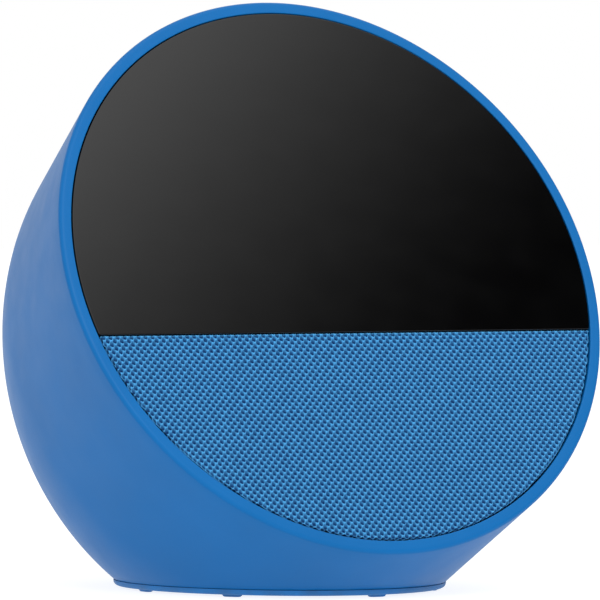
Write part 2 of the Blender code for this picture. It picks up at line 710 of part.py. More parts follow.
def speaker_enclosure(axis):
    """Sealed back volume: a cup with a square flange, clamped behind the driver."""
    flange = plate_mesh("speaker_enclosure", [flange_outline(), circle(19.2 * MM, count=32),
                                              *flange_holes()], -9.4 * MM, -7.9 * MM)
    cup = add_object("speaker_enclosure", flange, "frame_grey", axis)
    wall = [(0.0, -31.5 * MM), (13.0 * MM, -31.5 * MM), (17.6 * MM, -24.4 * MM),
            (19.0 * MM, -15.0 * MM), (19.4 * MM, -8.4 * MM), (20.4 * MM, -8.4 * MM),
            (20.4 * MM, -15.0 * MM), (19.0 * MM, -25.0 * MM), (13.8 * MM, -33.0 * MM),
            (0.0, -33.0 * MM)]
    combine(cup, turned("enclosure_cup", wall, frame=axis), "UNION")
    for number, (x, y) in enumerate(speaker_spots(), 1):
        screw_piece(f"speaker_screw_{number}", (x, y - SPEAKER_Y, -10.9 * MM), 1.2 * MM,
                    6.1 * MM, axis, upwards=True)


# ---------------------------------------------------------------- electronics

def main_board(face):
    right = [(41.0 * MM, -4.0 * MM), (41.0 * MM, 20.0 * MM), (18.0 * MM, 46.3 * MM)]
    outline = right + [(-x, y) for x, y in reversed(right)]
    holes = [circle(SCREW_HOLE, x, y, 12) for x, y in board_spots()]
    board = plate_mesh("main_board", [outline, *holes], -BOARD_BACK, -BOARD_FRONT)
    add_object("main_board", board, "board_green", face)
    for number, (x, y) in enumerate(board_spots(), 1):
        screw_piece(f"main_board_screw_{number}", (x, y, -12.0 * MM), 1.2 * MM, 4.2 * MM, face,
                    upwards=True)

    shield = box_mesh("processor_shield", (-14.0 * MM, 8.0 * MM, -13.0 * MM),
                      (14.0 * MM, 30.0 * MM, -BOARD_BACK - GAP))
    add_object("processor_shield", shield, "steel", face)
    pad = box_mesh("thermal_pad", (-10.0 * MM, 11.0 * MM, -14.3 * MM),
                   (10.0 * MM, 27.0 * MM, -13.3 * MM))
    add_object("thermal_pad", pad, "thermal_grey", face)
    spreader = plate_mesh("heat_spreader",
                          [rounded_rectangle(22.0 * MM, 16.0 * MM, 3.0 * MM, y=18.0 * MM)],
                          -15.8 * MM, -14.6 * MM)
    add_object("heat_spreader", spreader, "aluminium", face)


def power_inlet():
    """Power socket on its own small board, low on the back, its bore along +Y."""
    x, y = POWER_POST
    outline = rounded_rectangle(11.0 * MM, 8.0 * MM, 1.0 * MM, y=21.5 * MM, steps=1)
    board = plate_mesh("power_board", [outline, circle(SCREW_HOLE, x, y, 12)],
                       9.3 * MM, 10.5 * MM)
    add_object("power_board", board, "board_green")
    screw_piece("power_board_screw", (x, y, 12.0 * MM), 1.2 * MM, 3.9 * MM)

    socket = plate_mesh("dc_jack_housing",
                        [rounded_rectangle(4.8 * MM, 5.3 * MM, 0.6 * MM, steps=1),
                         circle(JACK_BORE, count=24)], 0.0, 7.6 * MM)
    housing = add_object("dc_jack_housing", socket, "frame_black")
    housing.location = (0.0, JACK_FACE_Y, JACK_HEIGHT)
    housing.rotation_euler = (math.pi / 2, 0.0, 0.0)

    pin = turned("dc_jack_pin", [(0.0, 7.2 * MM), (0.7 * MM, 7.0 * MM), (1.0 * MM, 6.6 * MM),
                                 (1.0 * MM, 1.2 * MM), (2.5 * MM, 1.2 * MM), (2.5 * MM, 0.0),
                                 (0.0, 0.0)], "brass", steps=20)
    pin.location = (0.0, JACK_FACE_Y - 7.6 * MM, JACK_HEIGHT)
    pin.rotation_euler = (-math.pi / 2, 0.0, 0.0)


# ---------------------------------------------------------------- controls

def controls(deck):
    """Three buttons that slide in along the deck's axis onto switches on one board."""
    proud = add_object("proud_skin", outer_mesh("proud_skin", -BUTTON_PROUD, SHELL_BOTTOM))
    for name, x in BUTTONS.items():
        flange = BUTTON_RADIUS + 0.8 * MM
        cap = turned(name + "_button", [(0.0, 4.0 * MM), (BUTTON_RADIUS, 4.0 * MM),
                                        (BUTTON_RADIUS, -6.8 * MM), (flange, -6.8 * MM),
                                        (flange, -7.6 * MM), (0.0, -7.6 * MM)],
                     "button_blue", deck, steps=28)
        cap.location = (x, 0.0, 0.0)
        combine(cap, proud, "INTERSECT")

        body = box_mesh(name + "_switch", (-3.0 * MM, -3.0 * MM, DECK_BOARD_TOP + GAP),
                        (3.0 * MM, 3.0 * MM, DECK_BOARD_TOP + 3.0 * MM))
        switch = add_object(name + "_switch", body, "frame_black", deck)
        switch.location = (x, 0.0, 0.0)
        stem = rods_mesh(name + "_stem", [(1.7 * MM, 0.0, 0.0, DECK_BOARD_TOP + 2.0 * MM,
                                           DECK_BOARD_TOP + 3.8 * MM)])
        plunger = add_object(name + "_stem", stem, frame=deck)
        plunger.location = (x, 0.0, 0.0)
        combine(switch, plunger, "UNION")

    for name, (x, y) in MICROPHONES.items():
        can = box_mesh(name, (x - 1.75 * MM, y - 1.3 * MM, DECK_BOARD_TOP + GAP),
                       (x + 1.75 * MM, y + 1.3 * MM, DECK_BOARD_TOP + 1.3 * MM))
        add_object(name, can, "steel", deck)

    holes = [circle(SCREW_HOLE, x, y, 12) for x, y in DECK_POSTS]
    outline = rounded_rectangle(26.0 * MM, 7.5 * MM, 2.0 * MM, steps=2)
    board = plate_mesh("button_board", [outline, *holes], DECK_BOARD_TOP - 1.2 * MM,
                       DECK_BOARD_TOP)
    add_object("button_board", board, "board_green", deck)
    for number, (x, y) in enumerate(DECK_POSTS, 1):
        screw_piece(f"button_board_screw_{number}", (x, y, DECK_BOARD_TOP - 2.7 * MM),
                    1.2 * MM, 4.0 * MM, deck, upwards=True)


def base_plate():
    """Rigid plate that closes the housing from below, held by four screws."""
    bottom = SHELL_BOTTOM
    outline = base_ellipse(BASE_RECESS, GAP)
    solid = stack_mesh("base_plate", [(outline, bottom), (outline, FLOOR_UNDERSIDE - GAP)])
    plate = add_object("base_plate", solid, "frame_black")
    for name, radius, low, high in (
            ("head_recesses", SCREW_HEAD + GAP, bottom - MM, bottom + 1.1 * MM),
            ("plate_holes", SCREW_HOLE, bottom + 0.5 * MM, bottom + 4.0 * MM)):
        drill = rods_mesh(name, [(radius, x, y, low, high) for x, y in BASE_SCREWS], 12)
        combine(plate, add_object(name, drill), "DIFFERENCE")
    for number, (x, y) in enumerate(BASE_SCREWS, 1):
        screw_piece(f"base_screw_{number}", (x, y, bottom + 0.1 * MM), 0.7 * MM, 4.2 * MM,
                    upwards=True)


def base_pad():
    """Soft pad that hides the base screws, with eight feet moulded on it."""
    low, high = FOOT_HEIGHT, FOOT_HEIGHT + PAD_THICKNESS
    edge = 0.25 * MM
    narrow, wide = pad_outline(PAD_PROUD - edge), pad_outline(PAD_PROUD)
    solid = stack_mesh("base_pad", [(narrow, low), (wide, low + edge), (wide, high - edge),
                                    (narrow, high)])
    pad = add_object("base_pad", solid, "base_blue")
    feet = bmesh.new()
    outline = pad_outline(PAD_PROUD - FOOT_INSET, 40 * FEET)
    for number in range(FEET):
        index = (40 * number + 30 * FEET) % len(outline)
        x, y = outline[index]
        before, after = outline[index - 1], outline[(index + 1) % len(outline)]
        along = math.atan2(after[1] - before[1], after[0] - before[0])
        place = (Matrix.Translation((x, y, FOOT_HEIGHT)) @ Matrix.Rotation(along, 4, "Z")
                 @ Matrix.Diagonal((*FOOT_SIZE, 2 * FOOT_HEIGHT, 1.0)))
        made = bmesh.ops.create_cube(feet, size=1.0, matrix=place)
        for vertex in made["verts"]:
            if vertex.co.z < 0.5 * FOOT_HEIGHT:
                vertex.co.x = x + 0.75 * (vertex.co.x - x)
                vertex.co.y = y + 0.75 * (vertex.co.y - y)
    combine(pad, add_object("feet", finish_mesh(feet, "feet")), "UNION")


def cables(face, deck):
    """Flat and round leads between the boards, the display and the speaker."""
    ribbon("display_flex", [(0.0, 0.0, -6.3 * MM), (0.0, -4.0 * MM, -6.7 * MM),
                            (0.0, 14.0 * MM, -8.4 * MM), (0.0, 10.0 * MM, -8.8 * MM)],
           7.0 * MM, face)
    on_deck = [deck.matrix_world @ Vector((0.0, -3.0 * MM, z * MM)) for z in (-13.6, -18.0)]
    on_board = [face.matrix_world @ Vector((0.0, 38.0 * MM, z * MM)) for z in (-15.0, -10.9)]
    ribbon("button_flex", [*on_deck, *on_board], 5.0 * MM, None)
    cable("speaker_cable", [(9.1 * MM, -7.5 * MM, -12.5 * MM), (10.5 * MM, -4.5 * MM, -13.5 * MM),
                            (14.0 * MM, 0.0, -13.0 * MM), (17.0 * MM, 3.0 * MM, -11.5 * MM)],
          0.7 * MM, face)
    end = face.matrix_world @ Vector((-24.0 * MM, 4.0 * MM, -11.7 * MM))
    cable("power_cable", [(-7.0 * MM, 17.0 * MM, 11.7 * MM), (-9.0 * MM, 24.0 * MM, 30.0 * MM),
                          (-24.0 * MM, 6.0 * MM, 52.0 * MM), end], 0.8 * MM)


def deck_frame():
    """The controls' own frame: on the skin at the top of the rim, Z along the skin's normal."""
    rows, _ = skin_rows(0.0)
    _, normal, _ = skin_directions()
    top = COLUMNS // 4
    along = Vector(rows[1][top] - rows[0][top]).normalized()
    outward = Vector(normal[top])
    side = Vector((1.0, 0.0, 0.0))
    return add_frame("deck_frame", Vector(rows[0][top]) + DECK_DISTANCE * along, outward,
                     outward.cross(side))


def main():
    global PARTS, CUTTERS
    clear_scene()
    PARTS = new_collection("smart_display")
    CUTTERS = new_collection("cutters")
    face = add_frame("face_frame", FACE_CENTRE, FACE_AXIS, FACE_UP)
    axis = add_frame("speaker_frame", FACE_CENTRE + SPEAKER_Y * FACE_UP, FACE_AXIS, FACE_UP)
    deck = deck_frame()
    bpy.context.view_layer.update()
    rear_shell(face, deck)
    cover_glass(face)
    grille(face)
    front_chassis(face)
    display(face)
    speaker(axis)
    diaphragm(axis)
    speaker_enclosure(axis)
    main_board(face)
    power_inlet()
    controls(deck)
    cables(face, deck)
    base_plate()
    base_pad()


main()
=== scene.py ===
"""Outer pieces, finishes and studio for a round desk display that leans back on a ball-shaped body.

Laid out as an add-on: sizes and colours are properties, each piece has its own operator, and one
panel lists them.  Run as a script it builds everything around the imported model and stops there.
All lengths are metres.
"""

import math

import bmesh
import bpy
import numpy as np
from mathutils import Matrix, Vector


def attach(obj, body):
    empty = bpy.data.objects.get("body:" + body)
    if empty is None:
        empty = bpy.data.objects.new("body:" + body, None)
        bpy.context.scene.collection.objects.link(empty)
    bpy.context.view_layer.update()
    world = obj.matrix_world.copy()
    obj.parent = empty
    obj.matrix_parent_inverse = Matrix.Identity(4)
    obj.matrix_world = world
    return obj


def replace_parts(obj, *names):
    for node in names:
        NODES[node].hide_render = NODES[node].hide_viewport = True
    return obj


bl_info = {
    "name": "Round desk display",
    "version": (1, 0, 0),
    "blender": (4, 5, 0),
    "location": "3D View > Sidebar > Display",
    "description": "Builds the outer pieces, finishes and studio of a round desk display",
    "category": "Object",
}

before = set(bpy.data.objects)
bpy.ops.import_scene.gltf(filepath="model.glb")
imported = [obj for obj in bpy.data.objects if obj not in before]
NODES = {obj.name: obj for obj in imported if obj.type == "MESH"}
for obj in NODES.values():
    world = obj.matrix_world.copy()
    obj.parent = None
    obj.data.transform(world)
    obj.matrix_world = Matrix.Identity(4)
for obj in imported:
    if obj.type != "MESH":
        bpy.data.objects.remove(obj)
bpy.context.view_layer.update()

MM = 0.001
X_AXIS = np.array([1.0, 0.0, 0.0])
Y_AXIS = np.array([0.0, 1.0, 0.0])
Z_AXIS = np.array([0.0, 0.0, 1.0])

# The leaning round face, and the ball behind it
LEAN = math.radians(26.06)
FACE_CENTRE = np.array([0.0, -27.0, 59.9]) * MM
FACE_RADIUS = 56.5 * MM
RIM_RADIUS = 56.74 * MM
FACE_INNER = 54.26 * MM
INSERT_RADIUS = 54.01 * MM
FACE_AXIS = np.array([0.0, -math.cos(LEAN), math.sin(LEAN)])
FACE_UP = np.array([0.0, math.sin(LEAN), math.cos(LEAN)])
FACE = (FACE_CENTRE, np.array([X_AXIS, FACE_UP, FACE_AXIS]))
WORLD = (np.zeros(3), np.eye(3))
BALL_CENTRE = np.array([0.0, -1.82, 44.79]) * MM
BALL_HALF_WIDTH = 49.4 * MM
BALL_HALF_LENGTHS = (50.98 * MM, 57.57 * MM)
BALL_TURN = math.radians(-37.13)

# Seats and walls of the housing
WALL = 2.2 * MM
LEDGE_FRONT, LEDGE_BACK = 5.3 * MM, 9.3 * MM
LEDGE_RADIUS = 50.3 * MM
SHELL_BOTTOM = 1.55 * MM
FLOOR_UNDERSIDE = 3.9 * MM
FLOOR_TOP = 7.0 * MM
BASE_CENTRE = np.array([0.0, -6.8]) * MM
BASE_RECESS = np.array([25.6, 30.2]) * MM
BASE_OPENING = np.array([18.0, 21.4]) * MM
BASE_SCREW_SPOTS = np.array([22.3, 26.4]) * MM * math.sqrt(0.5)
SCREW_HOLE = 1.25 * MM
CHASSIS_SCREW_RADIUS = 52.2 * MM
CHASSIS_SCREW_ANGLES = (-10, 35, 145, 190)

# Glass and knitted grille
GLASS_CHORD = -12.0 * MM
GLASS_BACK = 1.3 * MM
KNIT_CHORD = -12.12 * MM
KNIT_FRONT = 0.06 * MM

# Controls on the top, socket in the back
DECK_DISTANCE = 22.0 * MM
BUTTONS = {"volume_down": -14.0 * MM, "volume_up": 0.0, "mic_off": 14.0 * MM}
BUTTON_RADIUS = 4.5 * MM
BUTTON_HOLE = 4.85 * MM
BUTTON_PROUD = 0.4 * MM
BUTTON_FLANGE = (5.3 * MM, -6.8 * MM, -7.6 * MM)
MICROPHONES = ((-7.0 * MM, 5.0 * MM), (7.0 * MM, 5.0 * MM))
MICROPHONE_HOLE = 0.7 * MM
DECK_POSTS = (22.5 * MM, -22.5 * MM)
DECK_POST = (2.2 * MM, -11.7 * MM, -6.9 * MM)
POWER_POST_Y = 22.0 * MM
SOCKET_HEIGHT = 16.5 * MM
SOCKET_FLOOR = 26.9 * MM
SOCKET_RADIUS = 5.6 * MM

# Pad under the body
PAD_BOTTOM, PAD_TOP = 0.45 * MM, 1.52 * MM
PAD_PROUD = 0.08 * MM
PAD_ROUNDING = 0.85 * MM
PAD_EASED = 0.07 * MM
FOOT_INSET = 2.3 * MM
FOOT_ANGLES = (5, 48, 92, 136, 179, 223, 275, 320)


# ---------------------------------------------------------------- points and meshes

def unit(vectors):
    """Each vector divided by its length."""
    return vectors / np.linalg.norm(vectors, axis=-1, keepdims=True)


def at(place, points):
    """Points given in a place's own axes, moved into the frame: origin plus points times axes."""
    origin, axes = place
    return origin + points @ axes


def around(count, start=0.0):
    """Equal angles once around."""
    return start + 2 * math.pi * np.arange(count) / count


def polar(radius, angles):
    """Points at a radius and an angle: radius times cosine and sine."""
    return np.stack([radius * np.cos(angles), radius * np.sin(angles)], -1)


def lifted(flat, height):
    """Flat points given a third coordinate."""
    height = np.broadcast_to(height, flat.shape[:-1])
    return np.concatenate([flat, height[..., None]], -1)


def new_piece(name, points, faces, smooth_angle=None):
    """A mesh object with its faces turned outwards; edges sharper than the angle stay sharp."""
    mesh = bpy.data.meshes.new(name)
    mesh.from_pydata(points.tolist(), [], faces)
    work = bmesh.new()
    work.from_mesh(mesh)
    bmesh.ops.recalc_face_normals(work, faces=work.faces)
    work.to_mesh(mesh)
    work.free()
    piece = bpy.data.objects.new(name, mesh)
    bpy.context.scene.collection.objects.link(piece)
    if smooth_angle is not None:
        smooth(piece, smooth_angle)
    return piece


def smooth(piece, angle):
    """Smooth shading everywhere but across edges sharper than the angle in degrees."""
    mesh = piece.data
    mesh.polygons.foreach_set("use_smooth", np.ones(len(mesh.polygons), bool))
    mesh.set_sharp_from_angle(angle=math.radians(angle))


def band_faces(rows, columns, start=0):
    """Quads between neighbouring rows of points that close around."""
    here = np.arange(columns)
    there = np.roll(here, -1)
    base = start + columns * np.arange(rows - 1)[:, None]
    quads = np.stack([base + here, base + there, base + columns + there, base + columns + here], -1)
    return quads.reshape(-1, 4).tolist()


def closed_piece(name, rows, first, last, smooth_angle=None):
    """A solid: rows of points around, joined by quads, each end closed by a fan to one point."""
    count, columns = rows.shape[:2]
    points = np.vstack([rows.reshape(-1, 3), first, last])
    here = np.arange(columns)
    there = np.roll(here, -1)
    tip = count * columns
    faces = band_faces(count, columns)
    faces += np.stack([np.full(columns, tip), there, here], -1).tolist()
    bottom = tip - columns
    faces += np.stack([np.full(columns, tip + 1), bottom + here, bottom + there], -1).tolist()
    return new_piece(name, points, faces, smooth_angle)


def turned_rows(radii, heights, angles):
    """Rows of a profile turned about Z: each radius and height carried once around."""
    flat = polar(np.asarray(radii)[:, None], angles[None, :])
    return lifted(flat, np.asarray(heights)[:, None])


def rod(name, place, radius, low, high, x=0.0, y=0.0, columns=32):
    """A round rod along a place's Z."""
    rows = turned_rows([radius, radius], [low, high], around(columns)) + (x, y, 0.0)
    ends = np.array([[x, y, low], [x, y, high]])
    return closed_piece(name, at(place, rows), *at(place, ends))


def combine(piece, other, operation="DIFFERENCE"):
    """Cut other out of piece, or join it, and remove other."""
    step = piece.modifiers.new("step", "BOOLEAN")
    step.object, step.operation, step.solver = other, operation, "MANIFOLD"
    made = bpy.data.meshes.new_from_object(
        piece.evaluated_get(bpy.context.evaluated_depsgraph_get()))
    piece.modifiers.remove(step)
    if not made.polygons:
        raise RuntimeError(f"{piece.name}: nothing was left after {other.name}")
    piece.data = made
    made.name = piece.name
    bpy.data.objects.remove(other)


# ---------------------------------------------------------------- the skin of the body

def ball_matrix():
    """Columns are the ball's three half axes as vectors."""
    cos, sin = math.cos(BALL_TURN), math.sin(BALL_TURN)
    first, second = BALL_HALF_LENGTHS
    return np.array([[BALL_HALF_WIDTH, 0.0, 0.0],
                     [0.0, first * cos, -second * sin],
                     [0.0, first * sin, second * cos]])


def ball_reach(normals):
    """How far the ball reaches along each normal from its centre: root of N times S times N."""
    shape = ball_matrix() @ ball_matrix().T
    return np.sqrt(np.einsum("...j,jk,...k->...", normals, shape, normals))


def rim_directions(angles, rim=RIM_RADIUS):
    """Outward radius in the face, the skin's normal at the rim, and the angle between them.

    The normal is cos(a) * radius - sin(a) * face axis.  The plane it gives through the rim also
    touches the ball, and a is found by halving an interval.
    """
    radial = np.cos(angles)[:, None] * X_AXIS + np.sin(angles)[:, None] * FACE_UP
    low, high = np.full(len(angles), -0.5), np.full(len(angles), 1.2)
    for _ in range(44):
        middle = (low + high) / 2
        normal = np.cos(middle)[:, None] * radial - np.sin(middle)[:, None] * FACE_AXIS
        face = normal @ FACE_CENTRE + rim * np.cos(middle)
        outside = face > normal @ BALL_CENTRE + ball_reach(normal)
        low, high = np.where(outside, middle, low), np.where(outside, high, middle)
    return radial, normal, middle


def ball_rows(normal, parts, inset):
    """Rows on the ball: arcs from where the skin touches it to its back pole, moved inwards."""
    axes = ball_matrix()
    inverse = np.linalg.inv(axes)
    touch = (normal @ axes @ axes.T) / ball_reach(normal)[:, None]
    start = touch @ inverse.T
    pole = unit(axes.T @ -FACE_AXIS)
    angle = np.arccos(np.clip(start @ pole, -1.0, 1.0))
    part = np.asarray(parts)[:, None]
    spots = (np.sin((1 - part) * angle)[..., None] * start
             + np.sin(part * angle)[..., None] * pole) / np.sin(angle)[:, None]
    rows = BALL_CENTRE + spots @ axes.T - inset * unit(spots @ inverse)
    return rows, BALL_CENTRE + axes @ pole + inset * FACE_AXIS


def straight_rows(first, last, count):
    """Rows spread evenly between two rows, both included."""
    part = np.linspace(0.0, 1.0, count)[:, None, None]
    return (1 - part) * first + part * last


def outer_rows(columns, rounding, back_rows=70):
    """The outer skin from the flat front, round the rim, straight to the ball, and to its back."""
    radial, normal, lean = rim_directions(around(columns))
    radius = RIM_RADIUS - rounding * (1 + np.sin(lean)) / np.cos(lean)
    middle = FACE_CENTRE + radius[:, None] * radial - rounding * FACE_AXIS
    part = np.linspace(0.0, 1.0, 9)[:, None]
    turn = part * np.arccos(np.clip(normal @ FACE_AXIS, -1.0, 1.0))
    side = unit(normal - (normal @ FACE_AXIS)[:, None] * FACE_AXIS)
    outward = np.cos(turn)[..., None] * FACE_AXIS + np.sin(turn)[..., None] * side
    edge = middle + rounding * outward
    support = edge[:1] - 0.15 * MM * radial
    ball, pole = ball_rows(normal, np.linspace(0.0, 1.0, back_rows, endpoint=False), 0.0)
    straight = straight_rows(edge[-1], ball[0], 14)[1:-1]
    return np.concatenate([support, edge, straight, ball]), pole


def skin_reach(points, axis, proud=0.0, spread=0.75, count=131):
    """How far each point can go along an axis before it leaves the skin.

    The body is convex, so this is the least, over directions N in a cone round the axis, of
    (how far the body reaches along N, less N . point) / (N . axis).
    """
    side = unit(np.cross(axis, X_AXIS if abs(axis[0]) < 0.9 else Y_AXIS))
    up = np.cross(axis, side)
    a, b = np.meshgrid(np.linspace(-spread, spread, count), np.linspace(-spread, spread, count))
    normals = unit(axis + a.reshape(-1, 1) * side + b.reshape(-1, 1) * up)
    disc = normals @ FACE_CENTRE + RIM_RADIUS * np.sqrt(1 - (normals @ FACE_AXIS) ** 2)
    ball = normals @ BALL_CENTRE + ball_reach(normals)
    reach = np.maximum(disc, ball) + proud
    flat = points.reshape(-1, 3)
    far = (reach[:, None] - normals @ flat.T) / (normals @ axis)[:, None]
    return far.min(0).reshape(points.shape[:-1])


def deck_place():
    """The controls' own place: on the skin behind the top of the rim, Z outwards."""
    radial, normal, _ = rim_directions(np.array([math.pi / 2]), FACE_RADIUS)
    ball, _ = ball_rows(normal, [0.0], 0.0)
    rim = FACE_CENTRE + FACE_RADIUS * radial[0]
    along = unit(ball[0, 0] - rim)
    outward = normal[0]
    return rim + DECK_DISTANCE * along, np.array([X_AXIS, np.cross(outward, X_AXIS), outward])


SOCKET_PLACE = (np.array([0.0, 0.0, SOCKET_HEIGHT]), np.array([X_AXIS, -Z_AXIS, Y_AXIS]))


def flared_hole(name, place, x, y, radius, bottom, flare, columns=72):
    """A cutter for a round hole whose edge is a quarter circle where it meets the skin."""
    angles = around(columns)
    turn = np.linspace(0.0, math.pi / 2, 8)
    radii = radius + flare * (1 - np.cos(turn))
    flat = polar(radii[:, None], angles[None, :]) + (x, y)
    origin, axes = place
    height = skin_reach(at(place, lifted(flat, 0.0)), axes[2])
    fillet = lifted(flat, height - flare * (1 - np.sin(turn))[:, None])
    low = lifted(flat[:1], bottom)
    top = fillet[-1:] + (0.0, 0.0, 3 * MM)
    rows = np.concatenate([low, fillet, top])
    ends = np.array([[x, y, bottom], [x, y, top[..., 2].max()]])
    return closed_piece(name, at(place, rows), *at(place, ends))


def base_radius(angles, height):
    """Distance from the base's centre to the skin in each direction, at a height.

    The skin's columns are followed from rim to back, and where they pass the height gives it.
    """
    rows, pole = outer_rows(192, 0.5 * MM, 40)
    grid = np.concatenate([rows, np.broadcast_to(pole, rows[:1].shape)])
    above, below = grid[:-1, :, 2] - height, grid[1:, :, 2] - height
    passes = above * below < 0
    part = (above / (above - below))[passes][:, None]
    spots = grid[:-1][passes] + part * (grid[1:][passes] - grid[:-1][passes])
    flat = spots[:, :2] - BASE_CENTRE
    direction = np.arctan2(flat[:, 1], flat[:, 0])
    order = np.argsort(direction)
    return np.interp(angles, direction[order], np.hypot(*flat.T)[order], period=2 * math.pi)


# ---------------------------------------------------------------- materials

class Finish:
    """A node material under construction, read on the piece's own Object coordinates."""

    def __init__(self, name):
        self.material = bpy.data.materials.new(name)
        self.material.use_nodes = True
        self.tree = self.material.node_tree
        self.shader = self.tree.nodes["Principled BSDF"]
        self.place = self.add("ShaderNodeTexCoord").outputs["Object"]

    def add(self, kind, **values):
        node = self.tree.nodes.new(kind)
        for key, value in values.items():
            setattr(node, key, value)
        return node

    def join(self, source, target):
        self.tree.links.new(source, target)

    def mapped(self, scale=(1.0, 1.0, 1.0), turn=(0.0, 0.0, 0.0)):
        """Object coordinates stretched and turned."""
        node = self.add("ShaderNodeMapping")
        node.inputs["Scale"].default_value = scale
        node.inputs["Rotation"].default_value = turn
        self.join(self.place, node.inputs["Vector"])
        return node.outputs["Vector"]

    def noise(self, size, detail=2.0, where=None, rough=0.5):
        """Noise whose blotches are about size across."""
        node = self.add("ShaderNodeTexNoise")
        node.inputs["Scale"].default_value = 1.0 / size
        node.inputs["Detail"].default_value = detail
        node.inputs["Roughness"].default_value = rough
        self.join(where or self.place, node.inputs["Vector"])
        return node.outputs["Fac"]

    def cells(self, size, where=None, feature="F1", output="Distance"):
        """Voronoi cells about size across."""
        node = self.add("ShaderNodeTexVoronoi", feature=feature)
        node.inputs["Scale"].default_value = 1.0 / size
        self.join(where or self.place, node.inputs["Vector"])
        return node.outputs[output]

    def waves(self, size, where=None, kind="BANDS", direction="X", wander=0.0):
        """Straight or ringed waves, size from crest to crest."""
        node = self.add("ShaderNodeTexWave", wave_type=kind)
        setattr(node, "rings_direction" if kind == "RINGS" else "bands_direction", direction)
        node.inputs["Scale"].default_value = math.pi / (10 * size)
        node.inputs["Distortion"].default_value = wander
        self.join(where or self.place, node.inputs["Vector"])
        return node.outputs["Fac"]

    def spread(self, value, low, high, start=0.3, end=0.7):
        """Value mapped from start..end to low..high, held at the ends."""
        node = self.add("ShaderNodeMapRange")
        for name, number in (("From Min", start), ("From Max", end),
                             ("To Min", low), ("To Max", high)):
            node.inputs[name].default_value = number
        self.join(value, node.inputs["Value"])
        return node.outputs["Result"]

    def sums(self, first, second, operation="ADD"):
        """Two values, or a value and a number, joined by one sum."""
        node = self.add("ShaderNodeMath", operation=operation)
        for socket, value in zip(node.inputs, (first, second)):
            if isinstance(value, (int, float)):
                socket.default_value = value
            else:
                self.join(value, socket)
        return node.outputs["Value"]

    def blend(self, part, first, second):
        """One colour turning into another; each is a colour or a socket."""
        node = self.add("ShaderNodeMix", data_type="RGBA")
        self.join(part, node.inputs[0])
        for socket, value in ((node.inputs[6], first), (node.inputs[7], second)):
            if isinstance(value, bpy.types.NodeSocket):
                self.join(value, socket)
            else:
                socket.default_value = (*value[:3], 1.0)
        return node.outputs[2]

    def colour(self, socket):
        self.join(socket, self.shader.inputs["Base Color"])

    def roughness(self, socket):
        self.join(socket, self.shader.inputs["Roughness"])

    def relief(self, height, depth, strength=1.0):
        """Fine relief, depth high, through a Bump node."""
        node = self.add("ShaderNodeBump")
        node.inputs["Strength"].default_value = strength
        node.inputs["Distance"].default_value = depth
        self.join(height, node.inputs["Height"])
        self.join(node.outputs["Normal"], self.shader.inputs["Normal"])

    def sets(self, **values):
        """Numbers that are the same all over, on the shader's own sockets."""
        for name, value in values.items():
            self.shader.inputs[name.replace("_", " ")].default_value = value
        return self


def shade(colour, factor):
    """A colour made darker or lighter."""
    return tuple(min(1.0, channel * factor) for channel in colour[:3])


def moulded_plastic(name, colour, gloss=0.42, grain=0.25 * MM, depth=0.012 * MM, change=0.05):
    """Moulded plastic: fine spark-eroded grain, faint cloudiness, gloss that varies a little."""
    made = Finish(name).sets(Specular_IOR_Level=0.13)
    clouds = made.noise(22 * MM, 3.0)
    fine = made.noise(grain, 3.0, rough=0.6)
    tone = made.blend(made.spread(clouds, 0.0, 1.0), shade(colour, 1 - change),
                      shade(colour, 1 + change))
    made.colour(made.blend(made.spread(fine, 0.0, 0.35, 0.35, 0.75), tone,
                           shade(colour, 1 - 2 * change)))
    made.roughness(made.spread(made.noise(6 * MM, 4.0), gloss - 0.03, gloss + 0.03))
    made.relief(fine, depth)
    return made


def black_glass(name):
    """Printed cover glass: black behind a clear polished face, with a trace of wiped haze."""
    made = Finish(name).sets(Metallic=0.0, IOR=1.5)
    haze = made.noise(9 * MM, 4.0, made.mapped((1.0, 2.6, 1.0), (0.0, 0.0, 0.5)))
    made.colour(made.blend(made.spread(haze, 0.0, 1.0), (0.0011, 0.0011, 0.0012),
                           (0.0018, 0.0018, 0.0019)))
    made.roughness(made.spread(haze, 0.06, 0.10))
    made.relief(made.noise(30 * MM, 1.0), 0.004 * MM, 0.3)
    return made


def knitted_yarn(name, yarn, hollow):
    """Knit read from the piece's own painted shade by depth: light twisted yarn on top, turning
    into painted shade, a deep blue, down in the holes.
    """
    made = Finish(name).sets(IOR=1.45, Specular_IOR_Level=0.05)
    depth_shade = made.add("ShaderNodeAttribute", attribute_name="depth_shade").outputs["Fac"]
    fibres = made.noise(0.11 * MM, 3.0, made.mapped((1.0, 0.45, 1.0)), 0.65)
    patches = made.noise(2.2 * MM, 2.0)
    depth = made.sums(depth_shade, made.spread(fibres, -0.16, 0.16))
    light = made.blend(made.spread(patches, 0.0, 1.0), shade(yarn, 0.96), shade(yarn, 1.04))
    # painted shade: the depth attribute turns the yarn's colour into the hollow colour, so dips and
    # holes are darkened in the colour itself
    made.colour(made.blend(made.spread(depth, 0.0, 1.0, 0.08, 0.92), hollow, light))
    made.roughness(made.spread(fibres, 0.62, 0.85))
    made.relief(fibres, 0.05 * MM, 0.7)
    made.sets(Sheen_Weight=0.03, Sheen_Roughness=0.5)
    return made


def brushed_metal(name, colour, gloss=0.32, direction=(1.0, 30.0, 30.0)):
    """Rolled or brushed metal: long fine streaks in tone, gloss and relief."""
    made = Finish(name).sets(Metallic=1.0)
    streaks = made.noise(1.6 * MM, 5.0, made.mapped(direction), 0.7)
    stains = made.noise(7 * MM, 3.0)
    tone = made.blend(made.spread(streaks, 0.0, 1.0), shade(colour, 0.82), shade(colour, 1.08))
    made.colour(made.blend(made.spread(stains, 0.0, 0.3, 0.5, 0.8), tone, shade(colour, 0.7)))
    made.roughness(made.spread(streaks, gloss - 0.08, gloss + 0.12))
    made.relief(streaks, 0.01 * MM)
    return made


